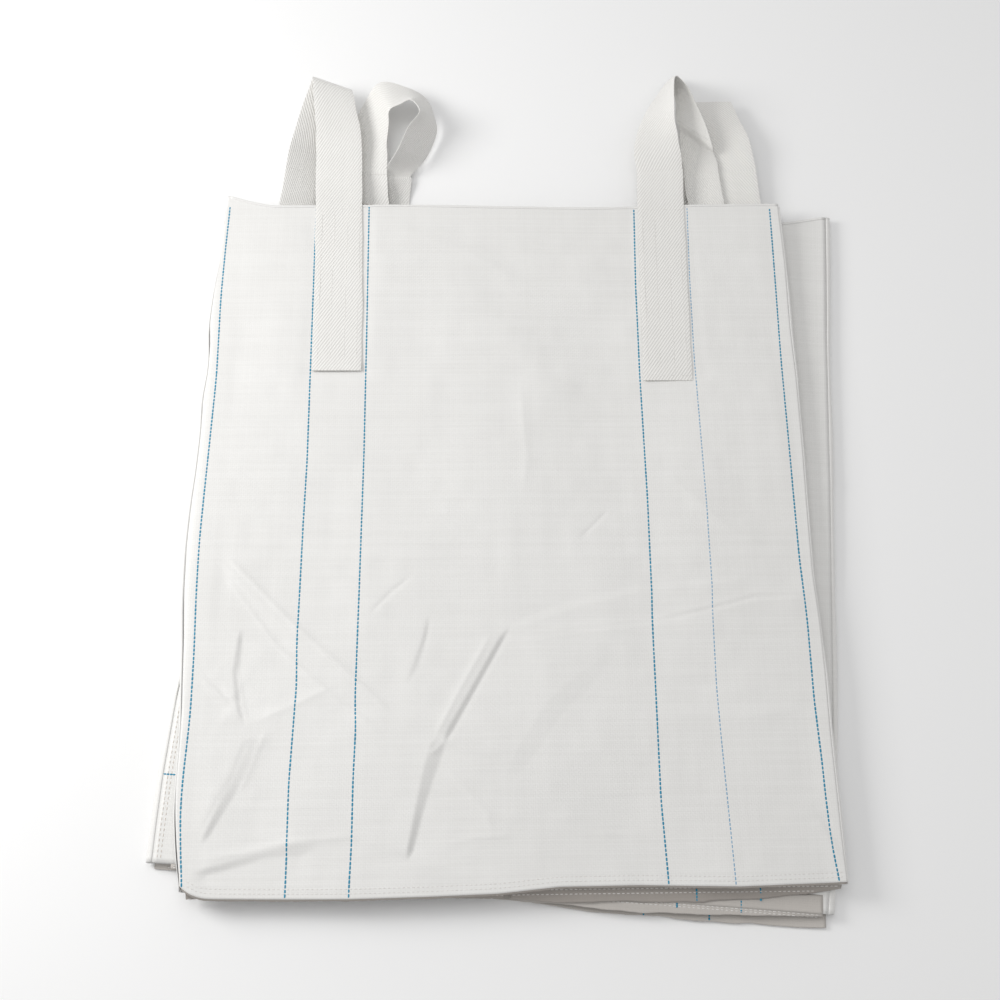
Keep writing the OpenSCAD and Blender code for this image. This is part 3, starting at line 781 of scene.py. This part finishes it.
# ---------------------------------------------------------------- seam allowances
def seam_allowance(body, frame, xs, bottom, height, allowance, seed, material):
    """Two plies along a panel's bottom edge, slightly wavy and raw-edged."""
    x = xs[:, None]
    t = np.linspace(0, 1, 11)
    nominal = allowance.width(x)
    for ply in (0, 1):
        width = (nominal * (1 + .08 * noise_c(x / 25 + seed, 3 + ply)) - ply
                 + .35 * noise_d(x / 4, seed))
        y = bottom(x) + 1.0 - (width + 1.0) * t
        wave = .9 * noise_b(x / 38 + seed + ply * 3, 2) * np.minimum(nominal / 8, 1)
        drop = allowance.drop * (1.1 if ply else 1)
        z = height(x, bottom(x)) - 1.25 * ply + (wave - drop) * t ** 1.2
        grid_x = x + 0 * t
        ob = sheet(f"{body}_seam_ply_{ply + 1}", model_points(frame, grid_x, y, z),
                   np.stack([grid_x + 300 * ply, y + 50], 2), .9, material, UP)
        register(ob, body, node=None if ply else body + "_base_seam")


# painted shade on the seam plies: the darker seam cloth on the front layers, the softer one on the
# rear layers
seam_allowance("front", front_frame, np.linspace(-452, 451, 220), FRONT_BOTTOM, z_front,
               FRONT_ALLOWANCE, 1, SEAM_FABRIC_PAINTED_SHADE)
seam_allowance("rear", rear_frame, np.linspace(-472, 452, 220), straight_bottom, z_rear,
               REAR_ALLOWANCE, 2, SEAM_FABRIC_SOFT_PAINTED_SHADE)
for side in SIDES:
    xs = np.linspace(*side.span(y=0, gap=4, outer=448 if side.left else 446), 110)
    seam_allowance(side.name, side.frame, xs, straight_bottom, side.z, side.allowance,
                   3 + side.seed, SEAM_FABRIC_SOFT_PAINTED_SHADE if side.rear else SEAM_FABRIC_PAINTED_SHADE)

# painted shade: a greyer band laid along the right rear half's bottom edge
x, y = np.meshgrid(np.linspace(4, 446, 90), np.linspace(-.6, 25, 9), indexing="ij")
z = RIGHT_REAR.z(x, np.maximum(y, 0)) + .42 - .3 * (y > 23)
painted_shade_band = sheet("right_side_rear_seam_band", model_points(rear_frame, x, y, z),
                  np.stack([x, y + 90], 2), .35, SEAM_FABRIC_SOFT_PAINTED_SHADE, UP)
register(painted_shade_band, "right_side_rear")


# ---------------------------------------------------------------- thread dashes
Thread = namedtuple("Thread", "pitch length width height material slot")
FRONT_MARK = Thread(6.1, 5.5, 3.1, .45, BLUE, "marker_thread")
FAINT_MARK = Thread(6.1, 5.2, 2.3, .3, FAINT_BLUE, "marker_thread")
MARK = Thread(6.25, 5, 2.3, .35, BLUE, "marker_thread")
SEAM_MARK = Thread(4.2, 4.0, 2.8, .5, BLUE, "marker_thread")
FRONT_LEG_STITCH = Thread(7.6, 4.4, 1.3, .32, WHITE, "sewing_thread")
LEG_STITCH = Thread(7.6, 5.0, 1.6, .5, PALE, "sewing_thread")
SEAM_STITCH = Thread(6.5, 4.2, 1.4, .5, WHITE, "sewing_thread")
EDGE_STITCH = Thread(7.2, 4.2, 1.4, .5, PALE, "sewing_thread")

# Shape of a dash: (place as a share of its length or width, share of the full height)
DASH_ALONG = ((-.5, .0), (-.36, .8), (0, 1), (.36, .8), (.5, 0))
DASH_ACROSS = ((-.5, 0), (-.28, .8), (.28, .8), (.5, 0))
DASH_FACES = [(a * 4 + c, a * 4 + c + 1, a * 4 + c + 5, a * 4 + c + 4)
              for a in range(4) for c in range(3)]
DASH_FACES += [(0, 4, 8, 12, 16, 19, 15, 11, 7, 3), (0, 3, 2, 1), (16, 17, 18, 19)]


def dashes(name, body, thread, lines, height, frame, side, seed, node=None):
    """Rows of raised dashes along lines of (x, y), on a face (side 1) or under it (-1)."""
    rng = np.random.default_rng(seed)
    points, faces = [], []
    for line in lines:
        line_x, line_y = np.array(line, float).T
        places = np.r_[0, np.cumsum(np.hypot(np.diff(line_x), np.diff(line_y)))]
        station = thread.pitch / 2
        while station < places[-1]:
            centre = station + rng.uniform(-.25, .25)
            at = [centre, centre + 1, centre - 1]
            (x, x_next, x_last), (y, y_next, y_last) = [
                np.interp(at, places, values) for values in (line_x, line_y)]
            dx, dy = x_next - x_last, y_next - y_last
            norm = math.hypot(dx, dy) or 1
            dx /= norm
            dy /= norm
            length = thread.length * rng.uniform(.9, 1.08)
            width = thread.width * rng.uniform(.88, 1.1)
            first = len(points)
            for t, crown in DASH_ALONG:
                along = t * length
                for c, rise in DASH_ACROSS:
                    across = c * width * (.45 + .55 * crown)
                    points.append((x + dx * along - dy * across, y + dy * along + dx * across,
                                   rise * thread.height * (.25 + .75 * crown) * side))
            faces += [tuple(first + corner for corner in face[::-side]) for face in DASH_FACES]
            station += thread.pitch
    x, y, rise = np.array(points).T
    z = height(x, y) - .12 * side + rise
    mesh = polygon_mesh(name, model_points(frame, x, y, z), faces)
    register(add_object(name, mesh, thread.material), body, node)


# ---------------------------------------------------------------- marker threads
# Marker threads of the front panel: (y, x)
EDGE_THREAD = [(y, FRONT_LEFT(y) + 1.5) for y in np.linspace(0, 1100, 60)]
FRONT_THREADS = [
    EDGE_THREAD,
    [(0, -313), (38, -313), (146, -314), (198, -312), (283, -309), (342, -311), (435, -310),
     (540, -309), (640, -307), (852, -308), (1093, -309)],
    [(0, -227), (61, -225), (145, -225), (219, -223), (261, -225), (414, -223), (534, -222),
     (639, -221), (845, -221), (1093, -222)],
    [(0, 207), (114, 203), (271, 205), (375, 206), (421, 208), (569, 210), (789, 210),
     (942, 212), (1093, 217)],
    [(0, 441), (47, 436), (111, 434), (167, 434), (257, 432), (371, 434), (432, 433),
     (470, 432), (567, 433), (640, 434), (795, 436), (941, 440), (1098, 444)],
]
FAINT_THREAD = [
    (0, 298), (270, 293), (384, 295), (436, 298), (568, 299), (815, 298), (963, 301),
    (1100, 306)]


def front_thread(points):
    curve = outline(points, reach=10)
    y = np.linspace(float(FRONT_BOTTOM(curve(0.0))) + 1.5, 1096, 80)
    return list(zip(curve(y), y))


def inner_thread(x, foot_x):
    """A straight thread, leaning towards foot_x over its lowest 220 mm."""
    return [(np.interp(y, [0, 220], [foot_x, x]), y) for y in np.linspace(3, 1062, 60)]


dashes("front_marker_thread", "front", FRONT_MARK,
       [front_thread(points) for points in FRONT_THREADS], z_front, front_frame, 1, 5,
       node="front_marker_threads")
dashes("front_marker_thread_faint", "front", FAINT_MARK, [front_thread(FAINT_THREAD)],
       z_front, front_frame, 1, 6)
dashes("rear_marker_thread", "rear", MARK,
       [inner_thread(x, x) for x in (-444, -311, -223, 223, 311, 444)],
       under(z_rear), rear_frame, -1, 7, node="rear_marker_threads")
for side in SIDES:
    dashes(side.name + "_marker_thread", side.name, MARK,
           [inner_thread(side.sign * x, side.sign * (x - 30)) for x in (276, 364)],
           side.z_seam if side.rear else under(side.z_seam), side.frame,
           1 if side.rear else -1, 8, node=side.name + "_marker_threads")

# short marks across the seam allowances: body, x of the marks, face, frame, lowest y
z_rear_seam = z_with_allowance(z_rear, REAR_ALLOWANCE)
for body, mark_xs, height, frame, lowest in (
        ("right_side_front", (246, 334), RIGHT_FRONT.z_seam, front_frame, -20),
        ("left_side_front", (-246, -334), LEFT_FRONT.z_seam, front_frame, -9),
        ("right_side_rear", (246, 334), RIGHT_REAR.z_seam, rear_frame, -7),
        ("rear", (-267, -190, 202, 292), z_rear_seam, rear_frame, -19)):
    dashes(body + "_seam_marks", body, SEAM_MARK,
           [[(x, lowest), (x - .5, 14)] for x in mark_xs], height, frame, 1, 21)

# ---------------------------------------------------------------- webbing
WEB_WIDTH = 77.0
WEB_THICK = 2.1
SEWN = 318                         # length of a sewn leg below the rim
SIDE_LEG_X = 320                   # side legs, either side of the centre line
CUT = 62.0                         # the crown's halves are split this far past the bend


def spline(rows, steps):
    """Catmull-Rom curve through the rows."""
    rows = np.array(rows, float)
    last = len(rows) - 1
    out = []
    for i in range(last):
        a, b, c, d = rows[max(0, i - 1)], rows[i], rows[i + 1], rows[min(last, i + 2)]
        for j in range(steps):
            t = j / steps
            out.append(.5 * (2 * b + (c - a) * t + (2 * a - 5 * b + 4 * c - d) * t * t
                             + (3 * b - a - 3 * c + d) * t ** 3))
    out.append(rows[-1])
    return np.array(out)


def running_length(rows):
    return np.r_[0, np.cumsum(np.linalg.norm(np.diff(rows[:, :3], axis=0), axis=1))]


def ribbon(name, rows, v_start):
    """Webbing with rounded selvedges and slight ribs.

    Rows are the centre x, y, z, the width direction x, y, z and the width.
    """
    m = 17
    centre, across, width = rows[:, :3], rows[:, 3:6], rows[:, 6]
    across = across / np.linalg.norm(across, axis=1)[:, None]
    along = np.gradient(centre, axis=0)
    along /= np.linalg.norm(along, axis=1)[:, None]
    normal = np.cross(across, along)
    normal /= np.linalg.norm(normal, axis=1)[:, None]
    place = running_length(rows) + v_start
    s = np.linspace(-1, 1, m)
    half_thick = (WEB_THICK / 2 * (1 - .55 * np.clip((np.abs(s) - .9) / .1, 0, 1) ** 1.5)
                  * (1 + .06 * np.cos(s * math.pi * 4)))
    twist = noise_c(place / 23, 7.7) * .5
    columns, uv = [], []
    for face in (1, -1):
        for i in range(m):
            waver = 1 + .012 * noise_b(place / 31, 5.1 * np.sign(s[i]))
            offset = width / 2 * s[i] * waver
            lift = face * half_thick[i] + twist * s[i] * .6
            columns.append(centre + across * offset[:, None] + normal * lift[:, None])
            uv.append(np.stack([np.full(len(place), WEB_WIDTH / 2 * s[i]), place], 1))
    n = len(place)
    index = np.arange(n * 2 * m).reshape(n, 2 * m)
    ring = [*range(m), *range(2 * m - 1, m - 1, -1)]
    faces = []
    for i in range(n - 1):
        for a, b in zip(ring, ring[1:] + ring[:1]):
            faces.append((index[i, a], index[i, b], index[i + 1, b], index[i + 1, a]))
    for i in range(m - 1):
        for end, a, b in ((0, i + 1, i), (-1, i, i + 1)):
            faces.append((index[end, a], index[end, b], index[end, m + b], index[end, m + a]))
    mesh = polygon_mesh(name, np.stack(columns, 1).reshape(-1, 3), faces)
    corners = np.zeros(len(mesh.loops), np.int32)
    mesh.loops.foreach_get("vertex_index", corners)
    corner_uv = (np.stack(uv, 1).reshape(-1, 2) / 1000)[corners]
    mesh.uv_layers.new(name="UVMap").data.foreach_set("uv", corner_uv.ravel())
    mesh.update()
    edit = bmesh.new()
    edit.from_mesh(mesh)
    bmesh.ops.recalc_face_normals(edit, faces=edit.faces)
    edit.to_mesh(mesh)
    edit.free()
    mesh.set_sharp_from_angle(angle=math.radians(55))
    ob = add_object(name, mesh, WEBBING)
    return ob


def edge_row(row):
    """Ribbon row from its two edges, x, y, z and x, y, z in front panel coordinates."""
    start, end = np.array(row[:3], float), np.array(row[3:], float)
    centre = (start + end) / 2
    width = np.linalg.norm(end - start)
    return (*front_frame(centre[0], centre[1]), centre[2], *((end - start) / width), width)


def level(x, y, z, direction):
    """The two edges at full width, from a centre and a width direction."""
    half = np.array(direction, float)
    half = half / np.linalg.norm(half) * WEB_WIDTH / 2
    return (x - half[0], y - half[1], z - half[2], x + half[0], y + half[1], z + half[2])


# Stations of the loops, each the x, y, z of one edge and then of the other, in front
# panel coordinates. bend: panel half at the bending line; up: on to the crest;
# down: side half from the crest; side_bend: side half at the bending line; rim: side leg
# at the rim. centre: x of the sewn panel leg; sewn: its length; crest_x: x (m) where the
# crest's fold across x starts and ends; flip: the side leg is turned over.
LOOPS = {
    "front_left": dict(
        sewn=311, centre=lambda y: -267 - 5 * np.clip((y - 900) / 200, 0, 1),
        bend=(-313, 1176, 31, -235, 1177, 34),
        up=[(-313, 1208, 37, -236, 1211, 39), (-314, 1242, 42, -239, 1245, 43),
            (-319, 1297, 46, -248, 1292, 42), (-322, 1339, 46, -253, 1322, 38),
            (-324, 1354, 42, -256, 1333, 34)],
        down=[(-325, 1357, 36, -257, 1336, 28), (-339, 1306, 34, -269, 1300, 20),
              (-350, 1263, 29, -287, 1262, 12), (-359, 1225, 25, -307, 1226, 6)],
        side_bend=(-364, 1190, 21, -312, 1192, 4), rim=(-372, 1108, 17, -314, 1110, 4)),
    "front_right": dict(
        sewn=328, centre=lambda y: 262 + (y - 1100) * .026, crest_x=(.291, .303),
        bend=(226, 1172, 32, 303, 1173, 38),
        up=[(223, 1203, 38, 301, 1196, 46), (228, 1236, 38, 296, 1222, 56),
            (247, 1290, 30, 291, 1256, 66), (272, 1338, 20, 292, 1292, 70),
            (296, 1378, 12, 294, 1326, 70)],
        down=[(305, 1380, 14, 304, 1342, 64), (302, 1321, 28, 331, 1301, 52),
              (301, 1277, 32, 355, 1225, 40), (307, 1258, 19, 361, 1212, 25)],
        side_bend=(309, 1186, 17, 366, 1181, 23), rim=(309, 1109, 17, 371, 1110, 22)),
    "rear_left": dict(
        sewn=SEWN, centre=lambda y: -267, flip=True, crest_x=(-.176, -.188),
        bend=(-203, 1172, 18, -153, 1180, 8),
        up=[(-177, 1201, 46, -126, 1222, 6), (-159, 1242, 56, -111, 1269, 8),
            (-140, 1273, 58, -118, 1308, 12), (-154, 1297, 57, -131, 1330, 22),
            (-173, 1290, 54, -160, 1344, 30)],
        down=[(-191, 1280, 49, -207, 1356, 30), (-192, 1260, 41, -233, 1326, 20),
              (-195, 1228, 33, -256, 1268, 13), (-194, 1202, 29, -265, 1218, 13)],
        side_bend=(-194, 1174, 24, -269, 1181, 14), rim=(-192, 1108, 17, -269, 1110, 15)),
    "rear_right": dict(
        sewn=SEWN, centre=lambda y: 267,
        bend=level(343, BEND_Y, 15, (1, 0, 0)),
        up=[level(346, BEND_Y + 28, 11, (1, 0, .05)), level(350, BEND_Y + CUT, 6.5, (1, 0, 0)),
            level(354, BEND_Y + 100, 6.5, (1, 0, 0)), level(360, BEND_Y + 132, 12.5, (1, 0, 0)),
            level(362, BEND_Y + 140, 16.5, (1, .02, 0))],
        down=[level(362, BEND_Y + 139, 20.5, (1, .03, 0)), level(372, BEND_Y + 100, 26, (1, 0, 0)),
              level(384, BEND_Y + CUT, 24, (1, 0, .12)), level(390, BEND_Y + 26, 20, (1, 0, .12))],
        side_bend=level(393, BEND_Y, 18.0, (1, 0, .08)), rim=level(395, 1110, 17, (1, -.04, .05))),
}


def z_side_leg(rear):
    """Middle of the webbing of a side leg, inside the fold."""
    return Z_SIDE_REAR_TOP + 2.4 if rear else Z_SIDE_FRONT - 1.6


def leg_rows(name, rear, across, loop):
    """The panel leg, sewn to the cloth and then free up to the bending line."""
    frame = rear_frame if rear else front_frame
    foot = RIM - loop["sewn"]
    rows = []
    for y in np.linspace(foot, RIM, 14):
        x = loop["centre"](y)
        z = WEB_THICK / 2
        if not rear:
            z = float(np.max(z_front(np.array([x - 25, x, x + 25]), np.full(3, y)))) + 1.15
        if name == "front_left" and y < foot + 30:
            z += 2.4 * (1 - (y - foot) / 30) ** 2
        rows.append((*frame(x, y), z, *across, WEB_WIDTH))
    centre = np.array([rows[-1][0] - FRONT_CENTRE[0], rows[-1][1] - BOTTOM, rows[-1][2]])
    half = np.array(across) * WEB_WIDTH / 2
    sewn_end = np.r_[centre - half, centre + half]
    bend = np.array(loop["bend"], float)
    for t in (.3, .6, .85):
        eased = t * t * (3 - 2 * t)
        share = np.array([eased, t, eased, eased, t, eased])
        rows.append(edge_row(sewn_end + (bend - sewn_end) * share))
    rows.append(edge_row(bend))
    return rows


def build_loop(name, loop):
    body, hand = name.split("_")
    rear = body == "rear"
    side_body = f"{hand}_side_{body}"
    frame = rear_frame if rear else front_frame
    across = (math.cos(TURN), -math.sin(TURN), 0) if rear else (1, 0, 0)
    leg = leg_rows(name, rear, across, loop)
    up = [edge_row(row) for row in loop["up"]]
    down = [edge_row(row) for row in loop["down"]]
    full = spline(leg + up + down, 8)
    cut_up = (len(leg) + 1) * 8
    cut_down = (len(leg) + len(up) + 2) * 8

    rows = full[:cut_up + 1]
    ob = ribbon(f"loop_{name}_panel_leg", rows, 0)
    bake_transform(ob)
    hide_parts(name + "_panel_leg")
    v_crown = running_length(rows)[-1]

    rows = full[cut_up:cut_down + 1]
    ob = ribbon(f"loop_{name}_crown", rows, v_crown)
    first, last = rows[0, :3] / 1000, rows[-1, :3] / 1000
    if "crest_x" in loop:
        start, end = [Vector((x + FRONT_CENTRE[0] / 1000, first[1], first[2]))
                      for x in loop["crest_x"]]
    else:
        start = Vector(first)
        end = start + Vector((0, 0, last[2] - first[2]))
    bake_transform(ob)
    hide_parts(name + "_crown_panel_half", name + "_crown_side_half")
    v_side = v_crown + running_length(rows)[-1]

    # side half from the cut down past the bending line
    side_bend = np.array(loop["side_bend"], float)
    past_bend = side_bend - np.array([0, 6, 0, 0, 6, 0])
    rows = spline([*down[1:], edge_row(side_bend), edge_row(past_bend)], 8)[8:]
    ob = ribbon(f"loop_{name}_side_strand", rows, v_side)
    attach(ob, name + "_crown_side")

    # side leg, from the bending line to the rim and on down inside
    rim = np.array(loop["rim"], float)
    rows = [edge_row(side_bend + (rim - side_bend) * t) for t in (0, .3, .65)]
    rows.append(edge_row(rim))
    turned = np.array(across) * (-1 if loop.get("flip") else 1)
    x = -SIDE_LEG_X if hand == "left" else SIDE_LEG_X
    for y in np.linspace(1080, RIM - loop["sewn"], 8):
        rows.append((*frame(x, y), z_side_leg(rear), *turned, WEB_WIDTH))
    ob = ribbon(f"loop_{name}_side_leg", spline(rows, 5), v_side + 60)
    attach(ob, side_body)
    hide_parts(name + "_side_leg")


for name, loop in LOOPS.items():
    build_loop(name, loop)


# ---------------------------------------------------------------- sewing
def leg_lines(centre, sewn=SEWN, slope=0.0):
    """Four rows along a sewn leg and one across each end."""
    lines = []
    for share in (-.40, -.14, .14, .40):
        lines.append([(centre + slope * (y - RIM) + share * WEB_WIDTH
                       + float(noise_c(y / 30, share * 20 + centre / 50)), y)
                      for y in np.linspace(RIM - sewn + 12, 1088, 30)])
    for y in (RIM - sewn + 8, 1091):
        x = centre + slope * (y - RIM)
        lines.append([(x - 34, y), (x + 34, y)])
    return lines


def z_front_leg(x, y):
    """Upper face of the front panel's sewn legs."""
    centre = np.where(x < 0, -267., 262. + (y - RIM) * .026)
    z = np.maximum(np.maximum(z_front(centre - 25, y), z_front(centre, y)),
                   z_front(centre + 25, y)) + 2.2
    lifted_end = 2.4 * np.clip(1 - (y - 789) / 30, 0, 1) ** 2
    return z + np.where((x < 0) & (y < 819), lifted_end, 0)


dashes("front_leg_stitching", "front", FRONT_LEG_STITCH,
       leg_lines(-267, 311) + leg_lines(262, 328, .026), z_front_leg, front_frame, 1, 12,
       node="front_stitching")
dashes("front_seam_stitching", "front", SEAM_STITCH,
       [[(x, FRONT_BOTTOM(x) + offset) for x in np.linspace(-447, 447, 60)]
        for offset in (7, 13)], z_front, front_frame, 1, 13)
dashes("rear_leg_stitching", "rear", LEG_STITCH, leg_lines(-267) + leg_lines(267), z_rear,
       rear_frame, 1, 14, node="rear_stitching")
dashes("rear_seam_stitching", "rear", SEAM_STITCH,
       [[(-455, y), (443, y)] for y in (5, -4)], z_rear_seam, rear_frame, 1, 15)
dashes("left_side_rear_edge_stitching", "left_side_rear", EDGE_STITCH,
       [[(REAR_LEFT(y) + inset, y) for y in np.linspace(5, top, 30)]
        for inset, top in ((6, 330), (11, 240))],
       lambda x, y: LEFT_REAR.z(x, y) + .1, rear_frame, 1, 31)
dashes("left_side_rear_edge_mark", "left_side_rear", SEAM_MARK, [[(-478, 121), (-458, 121)]],
       LEFT_REAR.z, rear_frame, 1, 32)
for side in SIDES:
    facing = 1 if side.rear else -1
    z_leg = z_side_leg(side.rear) + facing * WEB_THICK / 2
    dashes(side.name + "_leg_stitching", side.name, LEG_STITCH,
           leg_lines(side.sign * SIDE_LEG_X), lambda x, y: 0 * x + z_leg, side.frame,
           facing, 16, node=side.name + "_stitching")
    start, end = side.span(y=0, gap=6, outer=446 if side.left else 444)
    lower = -5 if side.rear else -8
    dashes(side.name + "_seam_stitching", side.name, SEAM_STITCH,
           [[(start, -2), (end, -2)], [(start, lower), (min(end, 410), lower)]],
           side.z_seam, side.frame, 1, 17)

# ---------------------------------------------------------------- floor, lights, camera (m)
FLOOR_HALF = 9
floor_shader = Shader("floor_white")
floor_shader.principled({"Base Color": (.93, .93, .93, 1), "Roughness": .8})
floor_mesh = bpy.data.meshes.new("floor")
floor_mesh.from_pydata([(x * FLOOR_HALF, y * FLOOR_HALF, 0)
                        for x, y in ((-1, -1), (1, -1), (1, 1), (-1, 1))], [], [(0, 1, 2, 3)])
add_object("floor", floor_mesh, floor_shader.material)

scene = bpy.context.scene
world = bpy.data.worlds.new("studio")
scene.world = world
world.use_nodes = True
background = world.node_tree.nodes["Background"]
background.inputs["Color"].default_value = (1, 1, 1, 1)
background.inputs["Strength"].default_value = .54


def area_light(name, location, target, size, power, color=(1, 1, 1)):
    light = bpy.data.lights.new(name, "AREA")
    light.size = size
    light.energy = power
    light.color = color
    ob = bpy.data.objects.new(name, light)
    ob.location = location
    aim = Vector(target) - Vector(location)
    ob.rotation_euler = aim.to_track_quat("-Z", "Y").to_euler()
    bpy.context.collection.objects.link(ob)


area_light("key", location=(-2.15, .45, 1.3), target=(-.1, 0, 0), size=1.0, power=36,
           color=(1, .995, .985))
area_light("top", location=(-.5, .7, 3.4), target=(-.3, .2, 0), size=2.4, power=20)
area_light("fill", location=(2.4, -1.2, 2.6), target=(0, 0, 0), size=2.5, power=1)

lens = bpy.data.cameras.new("camera")
lens.lens = 50.4
lens.sensor_width = 36
lens.clip_start = .05
lens.clip_end = 60
camera = bpy.data.objects.new("camera", lens)
bpy.context.collection.objects.link(camera)
# looking down, turned right of +Y, rolled
pitch, heading, roll = [math.radians(angle) for angle in (67.018, 4.415, 3.808)]
view = Vector((math.sin(heading) * math.cos(pitch), math.cos(heading) * math.cos(pitch),
               -math.sin(pitch)))
level_right = Vector((math.cos(heading), -math.sin(heading), 0))
level_up = level_right.cross(view)
camera_right = level_right * math.cos(roll) + level_up * math.sin(roll)
camera_up = -level_right * math.sin(roll) + level_up * math.cos(roll)
pose = Matrix((camera_right, camera_up, -view)).transposed().to_4x4()
pose.translation = Vector((-.098665, -.899899, 1.982353))
camera.matrix_world = pose
scene.camera = camera
scene.view_settings.view_transform = "Standard"
